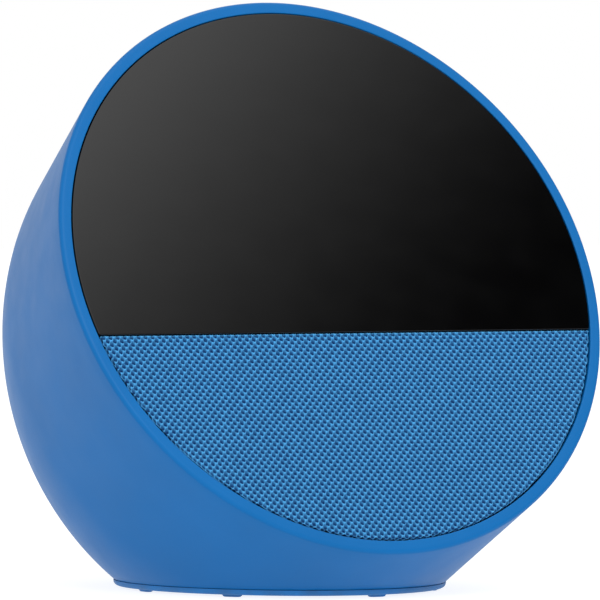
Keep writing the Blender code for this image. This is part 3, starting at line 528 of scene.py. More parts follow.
def circuit_board(name, colour):
    """Solder mask over copper: faint raised tracks, pads in rows and a satin coat."""
    made = Finish(name)
    tracks = made.waves(1.1 * MM, wander=6.0)
    across = made.waves(1.5 * MM, direction="Y", wander=4.0)
    lines = made.sums(made.spread(tracks, 0.0, 1.0, 0.80, 0.86),
                      made.spread(across, 0.0, 1.0, 0.84, 0.9), "MAXIMUM")
    pads = made.spread(made.cells(2.4 * MM), 1.0, 0.0, 0.12, 0.16)
    tone = made.blend(lines, colour, shade(colour, 1.9))
    made.colour(made.blend(pads, tone, (0.62, 0.5, 0.28)))
    made.roughness(made.spread(made.noise(3 * MM, 3.0), 0.32, 0.45))
    made.relief(made.sums(lines, pads, "MAXIMUM"), 0.03 * MM)
    return made


def soft_rubber(name, colour, grain=0.18 * MM, gloss=0.7):
    """Rubber or foam: open fine grain, dusty tone."""
    made = Finish(name)
    pores = made.cells(grain)
    dust = made.noise(5 * MM, 4.0)
    tone = made.blend(made.spread(dust, 0.0, 1.0), shade(colour, 0.85), shade(colour, 1.25))
    made.colour(made.blend(made.spread(pores, 0.4, 0.0, 0.0, 0.5), tone, shade(colour, 0.6)))
    made.roughness(made.spread(dust, gloss - 0.08, gloss + 0.1))
    made.relief(pores, 0.03 * MM)
    return made


def woven_disc(name, colour, size=0.7 * MM):
    """Resin-dipped weave: two crossing sets of threads."""
    made = Finish(name)
    warp = made.waves(size, direction="X")
    weft = made.waves(size, direction="Z")
    weave = made.sums(warp, weft, "MULTIPLY")
    made.colour(made.blend(made.spread(weave, 0.0, 1.0, 0.1, 0.7), shade(colour, 0.45), colour))
    made.roughness(made.spread(made.noise(2 * MM), 0.55, 0.75))
    made.relief(weave, 0.08 * MM)
    return made


def pressed_paper(name, colour):
    """Felted paper cone: long tangled fibres in tone and relief."""
    made = Finish(name)
    fibres = made.noise(0.5 * MM, 5.0, made.mapped((1.0, 0.3, 1.0), (0.3, 0.2, 0.7)), 0.75)
    made.colour(made.blend(made.spread(fibres, 0.0, 1.0), shade(colour, 0.6),
                           shade(colour, 1.6)))
    made.roughness(made.spread(fibres, 0.75, 0.92))
    made.relief(fibres, 0.06 * MM)
    return made


def wound_wire(name, colour):
    """A coil of fine enamelled wire: ridges along the coil's axis."""
    made = Finish(name).sets(Metallic=1.0)
    turns = made.waves(0.22 * MM, made.mapped(turn=(math.pi / 2 - LEAN, 0.0, 0.0)), direction="Z")
    made.colour(made.blend(made.spread(turns, 0.0, 1.0, 0.1, 0.7), shade(colour, 0.4), colour))
    made.roughness(made.spread(made.noise(1 * MM), 0.25, 0.4))
    made.relief(turns, 0.05 * MM)
    return made


def flexible_strip(name, colour):
    """Polyimide ribbon with copper tracks along its length under a clear film."""
    made = Finish(name).sets(Coat_Weight=0.3)
    tracks = made.spread(made.waves(0.8 * MM), 0.0, 1.0, 0.55, 0.62)
    mottle = made.noise(2 * MM, 3.0)
    tone = made.blend(tracks, shade(colour, 0.7), shade(colour, 1.3))
    made.colour(made.blend(made.spread(mottle, 0.0, 0.3), tone, shade(colour, 0.5)))
    made.roughness(made.spread(mottle, 0.25, 0.4))
    made.relief(tracks, 0.03 * MM)
    return made


def speckled_ceramic(name, colour):
    """Sintered magnet: dark and grainy with bright flecks."""
    made = Finish(name)
    grain = made.noise(0.35 * MM, 4.0, rough=0.7)
    flecks = made.spread(made.cells(0.9 * MM), 1.0, 0.0, 0.03, 0.1)
    tone = made.blend(made.spread(grain, 0.0, 1.0), shade(colour, 0.7), shade(colour, 1.5))
    made.colour(made.blend(flecks, tone, shade(colour, 4.0)))
    made.roughness(made.spread(grain, 0.45, 0.65))
    made.relief(grain, 0.02 * MM)
    return made


INNER_FINISHES = {
    "frame_black": lambda: moulded_plastic("frame_black", (0.012, 0.012, 0.013), 0.5, 0.3 * MM),
    "frame_grey": lambda: moulded_plastic("frame_grey", (0.16, 0.165, 0.17), 0.5, 0.3 * MM),
    "foam_black": lambda: soft_rubber("foam_black", (0.014, 0.014, 0.015), 0.4 * MM, 0.85),
    "panel_grey": lambda: moulded_plastic("panel_grey", (0.06, 0.063, 0.07), 0.25, 0.5 * MM,
                                          0.004 * MM),
    "steel": lambda: brushed_metal("steel", (0.55, 0.56, 0.57)),
    "screw_steel": lambda: brushed_metal("screw_steel", (0.5, 0.5, 0.51), 0.28, (12, 12, 2)),
    "dark_steel": lambda: brushed_metal("dark_steel", (0.2, 0.2, 0.21), 0.4, (8, 8, 8)),
    "ferrite": lambda: speckled_ceramic("ferrite", (0.03, 0.03, 0.032)),
    "paper_black": lambda: pressed_paper("paper_black", (0.018, 0.018, 0.019)),
    "rubber_black": lambda: soft_rubber("rubber_black", (0.013, 0.013, 0.014)),
    "spider_yellow": lambda: woven_disc("spider_yellow", (0.55, 0.36, 0.09)),
    "copper": lambda: wound_wire("copper", (0.78, 0.36, 0.2)),
    "board_green": lambda: circuit_board("board_green", (0.012, 0.09, 0.045)),
    "flex_orange": lambda: flexible_strip("flex_orange", (0.55, 0.22, 0.05)),
    "thermal_grey": lambda: soft_rubber("thermal_grey", (0.3, 0.31, 0.33), 0.3 * MM, 0.8),
    "aluminium": lambda: brushed_metal("aluminium", (0.72, 0.73, 0.74), 0.35, (1.0, 24.0, 24.0)),
    "cable_black": lambda: soft_rubber("cable_black", (0.02, 0.02, 0.021), 0.15 * MM, 0.5),
    "brass": lambda: brushed_metal("brass", (0.75, 0.56, 0.26), 0.25, (20, 1, 20)),
}


def dress(piece, finish):
    """Give a new piece its one material."""
    piece.data.materials.clear()
    piece.data.materials.append(finish.material)


# ---------------------------------------------------------------- settings

def length(name, description, default):
    return bpy.props.FloatProperty(name=name, description=description, default=default,
                                   min=0.0, precision=5, subtype="DISTANCE", unit="LENGTH")


def paint(name, description, default):
    return bpy.props.FloatVectorProperty(name=name, description=description, default=default,
                                         min=0.0, max=1.0, size=3, subtype="COLOR")


class DisplayBodySettings(bpy.types.PropertyGroup):
    """Sizes and colours of the ball-shaped body, its pad and its buttons."""
    rim_rounding: length("Rim rounding", "Radius of the rim's outer edge", 0.8 * MM)
    seat_rounding: length("Seat rounding", "Radius of the edge around the glass", 0.2 * MM)
    base_rounding: length("Base rounding", "Height of the soft edge at the bottom", 0.08 * MM)
    hole_rounding: length("Hole rounding", "Radius of the edges of the button holes", 0.22 * MM)
    cap_rounding: length("Cap rounding", "Radius of the edges of the button caps", 0.4 * MM)
    mark_depth: length("Mark depth", "How deep the signs on the buttons are", 0.32 * MM)
    mark_width: length("Mark width", "How wide a stroke of a sign is", 0.5 * MM)
    body_colour: paint("Body colour", "Colour of the moulded body", (0.001, 0.122, 0.372))
    button_colour: paint("Button colour", "Colour of the button caps", (0.001, 0.115, 0.352))
    base_colour: paint("Base colour", "Colour of the soft pad", (0.001, 0.122, 0.362))


class DisplayFaceSettings(bpy.types.PropertyGroup):
    """Sizes and colours of the glass and the knitted grille."""
    glass_edge: length("Glass edge", "Radius of the glass's front edge", 0.09 * MM)
    knit_pitch: length("Knit pitch", "Distance between holes in one row", 1.46 * MM)
    hole_width: length("Hole width", "Width of one hole in the knit", 0.86 * MM)
    hole_height: length("Hole height", "Height of one hole in the knit", 1.34 * MM)
    hole_depth: length("Hole depth", "Depth of one hole in the knit", 0.42 * MM)
    fold_radius: length("Fold radius", "Radius at which the knit turns over its edge", 0.28 * MM)
    yarn_colour: paint("Yarn colour", "Colour of the yarn's top", (0.085, 0.40, 0.79))
    # partly the blue of the knit's second layer, darkened into painted shade for the shade down in
    # the holes
    hollow_shade_colour: paint("Hollow colour", "Colour in the knit's holes", (0.0, 0.019, 0.10))


class DisplayStudioSettings(bpy.types.PropertyGroup):
    """Camera and light."""
    azimuth: bpy.props.FloatProperty(
        name="Azimuth", description="Camera's turn around the object", subtype="ANGLE",
        default=math.radians(-29.741))
    elevation: bpy.props.FloatProperty(
        name="Elevation", description="Camera's height as an angle", subtype="ANGLE",
        default=math.radians(1.432))
    roll: bpy.props.FloatProperty(
        name="Roll", description="Camera's tilt", subtype="ANGLE", default=math.radians(0.264))
    distance: length("Distance", "Camera's distance from what it looks at", 1.514)
    lens: bpy.props.FloatProperty(
        name="Lens", description="Focal length on a 36 mm sensor", default=482.99, unit="CAMERA")
    ambient: bpy.props.FloatProperty(
        name="Ambient", description="Brightness of the white surroundings", default=1.0, min=0.0)
    key: bpy.props.FloatProperty(
        name="Key", description="Power of the main soft light, in watts", default=9.0, min=0.0)


# ---------------------------------------------------------------- pieces

class DISPLAY_OT_body(bpy.types.Operator):
    """Build the ball-shaped housing with its seats, holes and rounded edges"""
    bl_idname = "display.body"
    bl_label = "Body"

    def execute(self, context):
        body = context.scene.display_body
        rows, pole = outer_rows(240, body.rim_rounding)
        shell = closed_piece("rear_shell_skin", rows, FACE_CENTRE, pole)
        combine(shell, self.hollow(body.seat_rounding))
        self.add_posts(shell)
        combine(shell, self.bottom_cutter(body.base_rounding))
        for half, low, high in ((BASE_RECESS, -MM, FLOOR_UNDERSIDE),
                                (BASE_OPENING, 0.0, FLOOR_TOP + MM)):
            flat = BASE_CENTRE + half * polar(1.0, around(80))
            rows = np.stack([lifted(flat, low), lifted(flat, high)])
            ends = np.array([[*BASE_CENTRE, low], [*BASE_CENTRE, high]])
            combine(shell, closed_piece("recess", rows, *ends))
        self.drill(shell, body.hole_rounding)
        smooth(shell, 24)
        dress(shell, moulded_plastic("housing_blue", body.body_colour))
        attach(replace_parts(shell, "rear_shell"), "housing")
        return {"FINISHED"}

    def hollow(self, rounding):
        """The inside: a stepped seat for the face's layers, then the skin moved in by the wall."""
        radial, normal, _ = rim_directions(around(180))
        turn = np.linspace(math.pi / 2, 0.0, 6)
        profile = [(FACE_INNER + rounding, 3 * MM)]
        profile += [(FACE_INNER + rounding * (1 - math.cos(t)), -rounding * (1 - math.sin(t)))
                    for t in turn]
        profile += [(FACE_INNER, -LEDGE_FRONT), (LEDGE_RADIUS, -LEDGE_FRONT),
                    (LEDGE_RADIUS, -LEDGE_BACK)]
        radii, depths = np.array(profile).T
        seat = (FACE_CENTRE + radii[:, None, None] * radial
                + depths[:, None, None] * FACE_AXIS)
        ball, pole = ball_rows(normal, np.linspace(0.0, 1.0, 40, endpoint=False), WALL)
        rim = FACE_CENTRE + RIM_RADIUS * radial - WALL * normal
        line = ball[0] - rim
        part = (-LEDGE_BACK - (rim - FACE_CENTRE) @ FACE_AXIS) / (line @ FACE_AXIS)
        wall = straight_rows(rim + part[:, None] * line, ball[0], 8)[:-1]
        rows = np.concatenate([seat, wall, ball])
        hollow = closed_piece("hollow", rows, FACE_CENTRE + 3 * MM * FACE_AXIS, pole)
        floor = rod("floor", WORLD, 90 * MM, -20 * MM, FLOOR_TOP, columns=8)
        combine(hollow, floor)
        return hollow

    def add_posts(self, shell):
        radius, low, high = DECK_POST
        deck = deck_place()
        for x in DECK_POSTS:
            combine(shell, rod("post", deck, radius, low, high, x), "UNION")
        combine(shell, rod("post", WORLD, radius, FLOOR_TOP - MM, 9 * MM, 0.0, POWER_POST_Y),
                "UNION")

    def bottom_cutter(self, rounding):
        """All below the bottom edge; its top curls up past the edge as a parabola."""
        angles = around(240)
        past = np.linspace(-0.5, 1.0, 16) * MM
        rise = rounding * ((past - past[0]) / (0.62 * MM)) ** 2
        radius = base_radius(angles, SHELL_BOTTOM)
        flat = BASE_CENTRE + polar(radius + past[:, None], angles[None, :])
        top = lifted(flat, SHELL_BOTTOM + rise[:, None])
        low = lifted(flat[-1:], -20 * MM)
        ends = np.array([[*BASE_CENTRE, SHELL_BOTTOM], [*BASE_CENTRE, -20 * MM]])
        return closed_piece("bottom_cutter", np.concatenate([top, low]), *ends)

    def drill(self, shell, rounding):
        deck = deck_place()
        for x in BUTTONS.values():
            combine(shell, flared_hole("hole", deck, x, 0.0, BUTTON_HOLE, -8 * MM, rounding))
        for x, y in MICROPHONES:
            combine(shell, flared_hole("hole", deck, x, y, MICROPHONE_HOLE, -6 * MM,
                                       0.8 * rounding, 32))
        combine(shell, flared_hole("hole", SOCKET_PLACE, 0.0, 0.0, SOCKET_RADIUS, SOCKET_FLOOR,
                                   2 * rounding))
        for x in DECK_POSTS:
            combine(shell, rod("hole", deck, SCREW_HOLE, -13 * MM, -8.2 * MM, x, 0.0, 20))
        for degrees in CHASSIS_SCREW_ANGLES:
            x, y = polar(CHASSIS_SCREW_RADIUS, math.radians(degrees))
            combine(shell, rod("hole", FACE, SCREW_HOLE, -LEDGE_BACK - MM, -LEDGE_FRONT + MM,
                               x, y, 20))
        for sx, sy in ((1, 1), (-1, 1), (-1, -1), (1, -1)):
            x, y = BASE_CENTRE + BASE_SCREW_SPOTS * (sx, sy)
            combine(shell, rod("hole", WORLD, SCREW_HOLE, FLOOR_UNDERSIDE - MM, FLOOR_TOP + MM,
                               x, y, 20))
        combine(shell, rod("hole", WORLD, SCREW_HOLE, FLOOR_TOP - 0.5 * MM, 10 * MM,
                           0.0, POWER_POST_Y, 20))


def segment_outline(radius, chord, corner, inset=0.0, arc=180, side=60, turn=7):
    """Outline of the part of a disc above a chord, its two corners rounded, moved inwards.

    A corner is a circle that touches the arc from inside and the chord from above.
    """
    radius, chord, corner = radius - inset, chord + inset, max(corner - inset, 0.02 * MM)
    y = chord + corner
    x = math.sqrt((radius - corner) ** 2 - y * y)
    slope = math.atan2(y, x)
    middle = polar(radius, np.linspace(slope, math.pi - slope, arc))
    right = polar(corner, np.linspace(-math.pi / 2, slope, turn, endpoint=False)) + (x, y)
    left = (right * (-1.0, 1.0))[::-1]
    bottom = np.stack([np.linspace(-x, x, side)[1:-1], np.full(side - 2, chord)], -1)
    return np.concatenate([right, middle, left, bottom])


class DISPLAY_OT_glass(bpy.types.Operator):
    """Build the black cover glass above the seam"""
    bl_idname = "display.glass"
    bl_label = "Glass"

    def execute(self, context):
        edge = context.scene.display_face.glass_edge
        turn = np.linspace(0.0, math.pi / 2, 7)
        insets = [0.3 * edge, 0.0, *(edge * (1 - np.cos(turn))), 1.8 * edge]
        heights = [-GLASS_BACK, 0.3 * edge - GLASS_BACK, *(edge * (np.sin(turn) - 1)), 0.0]
        rows = np.stack([lifted(segment_outline(INSERT_RADIUS, GLASS_CHORD, 0.5 * MM, inset), z)
                         for inset, z in zip(insets, heights)])
        ends = np.array([[0.0, 20 * MM, -GLASS_BACK], [0.0, 20 * MM, 0.0]])
        glass = closed_piece("cover_glass_pane", at(FACE, rows), *at(FACE, ends), 40)
        dress(glass, black_glass("glass_black"))
        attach(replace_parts(glass, "cover_glass"), "housing")
        return {"FINISHED"}


class DISPLAY_OT_knit(bpy.types.Operator):
    """Build the knitted skin of the grille, with its net of yarn and its holes"""
    bl_idname = "display.knit"
    bl_label = "Knitted grille"
    BACK = 0.7 * MM
    OVERLAP = 0.8 * MM
    UNEVEN = 0.015

    def execute(self, context):
        face = context.scene.display_face
        points, heights, depth_shades, faces = self.net(face)
        wrapped = self.wrap(points, heights, face.fold_radius)
        points, depth_shades, faces = self.merge(wrapped, depth_shades, faces)
        points, faces = self.close(points, faces, face.fold_radius)
        depth_shades = np.concatenate([depth_shades, np.zeros(len(points) - len(depth_shades))])
        knit = new_piece("grille_knit", at(FACE, points), faces, 180)
        # the painted shade by depth rides on the points as an attribute that the knit's material
        # reads
        layer = knit.data.attributes.new("depth_shade", "FLOAT", "POINT")
        layer.data.foreach_set("value", depth_shades.astype(np.float32))
        dress(knit, knitted_yarn("knit_blue", face.yarn_colour, face.hollow_shade_colour))
        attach(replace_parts(knit, "grille_fabric"), "housing")
        return {"FINISHED"}

    def nearest(self, flat, radius, chord):
        """Nearest point of the disc below the chord: its arc's, its chord's or its corner's."""
        below = np.stack([flat[:, 0], np.minimum(flat[:, 1], chord)], -1)
        size = np.linalg.norm(flat, axis=-1, keepdims=True)
        inward = flat * np.minimum(1.0, radius / np.maximum(size, 1e-9))
        corner = np.stack([np.sign(flat[:, 0]) * math.sqrt(radius ** 2 - chord ** 2),
                           np.full(len(flat), chord)], -1)
        in_disc = np.linalg.norm(below, axis=-1) <= radius
        under = inward[:, 1] <= chord
        return np.where(in_disc[:, None], below, np.where(under[:, None], inward, corner))

    def shrunk(self, fold):
        """Radius and chord of the flat part, inside the fold."""
        return INSERT_RADIUS - fold, KNIT_CHORD - fold

    def net(self, face):
        """Cells of the net on a staggered grid, each a diamond with an egg-shaped hole in it.

        Each cell has twelve spokes: on its border, on the hole's edge and on the hole's floor.
        A hole is (size * egg + slip), with a size and a slip of its own, since no loop is quite
        like its neighbour.
        """
        half = face.knit_pitch / 2
        spokes = around(12)
        cos, sin = np.cos(spokes), np.sin(spokes)
        border = half * np.stack([cos, sin], -1) / (abs(cos) + abs(sin))[:, None]
        wide, tall = face.hole_width / 2, face.hole_height / 2
        egg = np.stack([wide * cos * (1 - 0.22 * sin), tall * sin], -1)
        between = (2 * sin * cos) ** 2
        ridge = -0.07 * MM * between
        lip = -0.13 * MM - 0.04 * MM * abs(cos)
        floor = -face.hole_depth * (0.80 - 0.20 * sin)
        local = np.stack([border, egg, 0.66 * egg + (0.0, -0.04 * MM)])
        height = np.stack([ridge, lip, floor])
        # painted shade by depth: 0.8 to 1 along the border, lowest in the dips between cells, 0.43
        # to 0.67 on each hole's edge and 0 to 0.32 on its floor, lighter on the upper side of each
        # hole
        depth_shade = np.stack([1.0 - 0.2 * between, 0.55 + 0.12 * sin, 0.16 + 0.16 * sin])

        steps = np.arange(-90, 91)
        i, j = (grid.ravel() for grid in np.meshgrid(steps, steps))
        centres = half * np.stack([i, j], -1)[(i + j) % 2 == 0]
        radius, chord = self.shrunk(face.fold_radius)
        away = np.linalg.norm(centres - self.nearest(centres, radius, chord), axis=-1)
        centres = centres[away < self.OVERLAP]

        count = len(centres)
        chance = np.random.default_rng(7)
        size = 1 + self.UNEVEN * chance.normal(0.0, 1.0, (count, 1, 2))
        slip = 0.5 * self.UNEVEN * face.knit_pitch * chance.normal(0.0, 1.0, (count, 1, 2))
        points = np.repeat(local[None], count, 0)
        points[:, 1:] = points[:, 1:] * size[:, None] + slip[:, None]
        points = (centres[:, None, None] + points).reshape(-1, 2)
        heights = np.tile(height.ravel(), count)
        depth_shades = np.tile(depth_shade.ravel(), count)
        here = np.arange(12)
        there = np.roll(here, -1)
        bands = np.concatenate([np.stack([a + here, a + there, a + 12 + there, a + 12 + here], -1)
                                for a in (0, 12)])
        start = 36 * np.arange(count)
        faces = (start[:, None, None] + bands).reshape(-1, 4).tolist()
        faces += (start[:, None] + 24 + here).tolist()
        return points, heights, depth_shades, faces

    def wrap(self, flat, heights, fold):
        """Bend the flat net over its edge: outside the flat part a point goes round a quarter
        circle by its distance from it, then straight down; its height stays along the normal."""
        near = self.nearest(flat, *self.shrunk(fold))
        away = flat - near
        far = np.linalg.norm(away, axis=-1)
        out = away / np.maximum(far, 1e-9)[:, None]
        turn = np.minimum(far / fold, math.pi / 2)
        down = np.maximum(far - fold * math.pi / 2, 0.0)
        reach = fold * np.sin(turn) + heights * np.sin(turn)
        level = -KNIT_FRONT - fold * (1 - np.cos(turn)) - down + heights * np.cos(turn)
        return lifted(near + reach[:, None] * out, level)

    def merge(self, points, depth_shades, faces):
        """Join the points that neighbouring cells share."""
        mesh = bpy.data.meshes.new("net")
        mesh.from_pydata(points.tolist(), [], faces)
        layer = mesh.attributes.new("depth_shade", "FLOAT", "POINT")
        layer.data.foreach_set("value", depth_shades.astype(np.float32))
        work = bmesh.new()
        work.from_mesh(mesh)
        bmesh.ops.remove_doubles(work, verts=work.verts, dist=2e-6)
        work.to_mesh(mesh)
        work.free()
        places = np.empty(3 * len(mesh.vertices))
        mesh.vertices.foreach_get("co", places)
        shades = np.empty(len(mesh.vertices))
        mesh.attributes["depth_shade"].data.foreach_get("value", shades)
        faces = [list(face.vertices) for face in mesh.polygons]
        bpy.data.meshes.remove(mesh)
        return places.reshape(-1, 3), shades, faces

    def close(self, points, faces, fold):
        """Close the back: from each open edge inwards by the cloth's thickness, up to the flat
        part's outline, and across it to one point in the middle."""
        starts = np.concatenate([np.array(face) for face in faces])
        ends = np.concatenate([np.roll(face, -1) for face in faces])
        count = len(points)
        code, back = starts * count + ends, ends * count + starts
        open_edges = ~np.isin(back, code)
        a, b = starts[open_edges], ends[open_edges]
        ring = np.unique(np.concatenate([a, b]))
        slot = np.zeros(count, int)
        slot[ring] = np.arange(len(ring))
        edge = points[ring]
        near = self.nearest(edge[:, :2], *self.shrunk(fold))
        out = unit(edge[:, :2] - near)
        inner = lifted(edge[:, :2] - 0.3 * MM * out, edge[:, 2])
        level = -KNIT_FRONT - self.BACK
        shelf = lifted(near, level)
        middle = np.array([[0.0, -30 * MM, level]])
        first, second, last = count, count + len(ring), count + 2 * len(ring)
        a_slot, b_slot = slot[a], slot[b]
        faces = faces + np.stack([b, a, first + a_slot, first + b_slot], -1).tolist()
        faces += np.stack([first + b_slot, first + a_slot, second + a_slot,
                           second + b_slot], -1).tolist()
        faces += np.stack([second + b_slot, second + a_slot,
                           np.full(len(a), last)], -1).tolist()
        return np.concatenate([points, inner, shelf, middle]), faces


class DISPLAY_OT_buttons(bpy.types.Operator):
    """Build the three button caps that follow the skin, each with its sunken sign"""
    bl_idname = "display.buttons"
    bl_label = "Buttons"

    def execute(self, context):
        body = context.scene.display_body
        deck = deck_place()
        finish = moulded_plastic("button_blue", body.button_colour, 0.4)
        for name, x in BUTTONS.items():
            cap = self.cap(name + "_cap", deck, x, body.cap_rounding)
            for path in self.signs(name):
                combine(cap, self.stroke(deck, np.array(path) * MM + (x, 0.0),
                                         body.mark_width / 2, body.mark_depth))
            smooth(cap, 30)
            dress(cap, finish)
            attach(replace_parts(cap, name + "_button"), name)
        return {"FINISHED"}

    def cap(self, name, deck, x, rounding):
        """A cap whose top is the skin moved out, its edge a quarter circle, with a flange below."""
        angles = around(72)
        turn = np.linspace(0.0, math.pi / 2, 8)
        inside = np.linspace(0.08, 0.98, 10) * (BUTTON_RADIUS - rounding)
        radii = np.concatenate([inside, BUTTON_RADIUS - rounding * (1 - np.sin(turn))])
        drop = np.concatenate([np.zeros(10), rounding * (1 - np.cos(turn))])
        flat = polar(radii[:, None], angles[None, :]) + (x, 0.0)
        top = lifted(flat, skin_reach(at(deck, lifted(flat, 0.0)), deck[1][2], BUTTON_PROUD)
                     - drop[:, None])
        flange, upper, lower = BUTTON_FLANGE
        skirt = turned_rows([BUTTON_RADIUS, flange, flange], [upper, upper, lower], angles)
        rows = np.concatenate([top, skirt + (x, 0.0, 0.0)])
        ends = np.array([[x, 0.0, top[0, :, 2].mean()], [x, 0.0, lower]])
        return closed_piece(name, at(deck, rows), *at(deck, ends))

    def signs(self, name):
        """Strokes of each sign as paths, in millimetres from the cap's middle."""
        minus = [(-1.8, 0.0), (1.8, 0.0)]
        if name == "volume_down":
            return [minus]
        if name == "volume_up":
            return [minus, [(0.0, -1.8), (0.0, 1.8)]]
        cup = polar(1.35, np.radians(np.linspace(180, 360, 13))) + (0.0, 0.2)
        return [cup, [(0.0, 0.2), (0.0, 1.8)], [(0.0, -1.15), (0.0, -2.1)],
                [(-1.9, 1.9), (1.9, -1.9)]]

    def stroke(self, deck, path, half, depth):
        """A cutter along a flat path: both sides of the path and a round end at each of its ends.

        Its bottom follows the cap's top, one depth under it.
        """
        along = unit(np.gradient(path, axis=0))
        across = np.stack([-along[:, 1], along[:, 0]], -1)
        start, end = (math.atan2(v[1], v[0]) for v in (along[0], along[-1]))
        fan = np.linspace(-math.pi / 2, math.pi / 2, 7)[1:-1]
        outline = np.concatenate([
            path - half * across, path[-1] + polar(half, end + fan),
            (path + half * across)[::-1], path[0] + polar(half, start + math.pi + fan)])
        count = len(outline)
        bottom = skin_reach(at(deck, lifted(outline, 0.0)), deck[1][2], BUTTON_PROUD) - depth
        points = np.concatenate([lifted(outline, bottom), lifted(outline, bottom + 4 * MM)])
        faces = band_faces(2, count)
        faces += [list(range(count)), list(range(count, 2 * count))]
        return new_piece("stroke", at(deck, points), faces)


class DISPLAY_OT_base(bpy.types.Operator):
    """Build the soft pad under the body, with its rounded lip and its feet"""
    bl_idname = "display.base"
    bl_label = "Base pad"

    def execute(self, context):
        angles = around(288)
        edge = base_radius(angles, SHELL_BOTTOM) + PAD_PROUD
        turn = np.linspace(0.0, math.pi / 2, 8)
        thick = PAD_TOP - PAD_BOTTOM
        inset = np.concatenate([[2 * MM], PAD_ROUNDING * (1 - np.sin(turn)),
                                PAD_EASED * (1 - np.cos(turn)), [2 * MM]])
        height = np.concatenate([[0.0], (thick - 2 * PAD_EASED) * (1 - np.cos(turn)),
                                 thick - PAD_EASED * (1 - np.sin(turn)), [thick]]) + PAD_BOTTOM
        flat = BASE_CENTRE + polar(edge - inset[:, None], angles[None, :])
        ends = np.array([[*BASE_CENTRE, PAD_BOTTOM], [*BASE_CENTRE, PAD_TOP]])
        pad = closed_piece("base_pad_sole", lifted(flat, height[:, None]), *ends)
        for degrees in FOOT_ANGLES:
            combine(pad, self.foot(math.radians(degrees), angles, edge), "UNION")
        smooth(pad, 35)
        dress(pad, soft_rubber("base_blue", context.scene.display_body.base_colour,
                               0.22 * MM, 0.62))
        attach(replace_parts(pad, "base_pad"), "housing")
        return {"FINISHED"}

    def foot(self, angle, angles, edge):
        """A long low pad along the lip: a rounded bar that narrows towards the floor."""
        near = np.array([angle - 0.01, angle, angle + 0.01])
        spots = BASE_CENTRE + polar(np.interp(near, angles, edge, period=2 * math.pi)
                                    - FOOT_INSET, near)
        along = unit(spots[2] - spots[0])
        across = np.array([-along[1], along[0]])
        outline = np.concatenate([polar(0.8 * MM, np.linspace(-0.5, 0.5, 9) * math.pi)
                                  + (1.2 * MM, 0.0),
                                  polar(0.8 * MM, np.linspace(0.5, 1.5, 9) * math.pi)
                                  - (1.2 * MM, 0.0)])
        scale = np.array([0.72, 0.84, 0.92, 1.0, 1.0])
        height = np.array([0.0, 0.06, 0.18, 0.42, 0.9]) * MM
        flat = spots[1] + (scale[:, None, None] * outline) @ np.array([along, across])
        ends = np.array([[*spots[1], height[0]], [*spots[1], height[-1]]])
        return closed_piece("foot", lifted(flat, height[:, None]), *ends)


class DISPLAY_OT_inner_finishes(bpy.types.Operator):
    """Give every remaining node of the frame its own finish"""
    bl_idname = "display.inner_finishes"
    bl_label = "Inner finishes"

    def execute(self, context):
        made = {}
        for node in NODES.values():
            if node.hide_render:
                continue
            for holder in node.material_slots:
                name = holder.material.name.split(".")[0]
                if name not in INNER_FINISHES:
                    raise RuntimeError(f"{node.name}: no finish is made for {name}")
                made.setdefault(name, None)
                made[name] = made[name] or INNER_FINISHES[name]().material
                holder.material = made[name]
        return {"FINISHED"}


# ---------------------------------------------------------------- studio

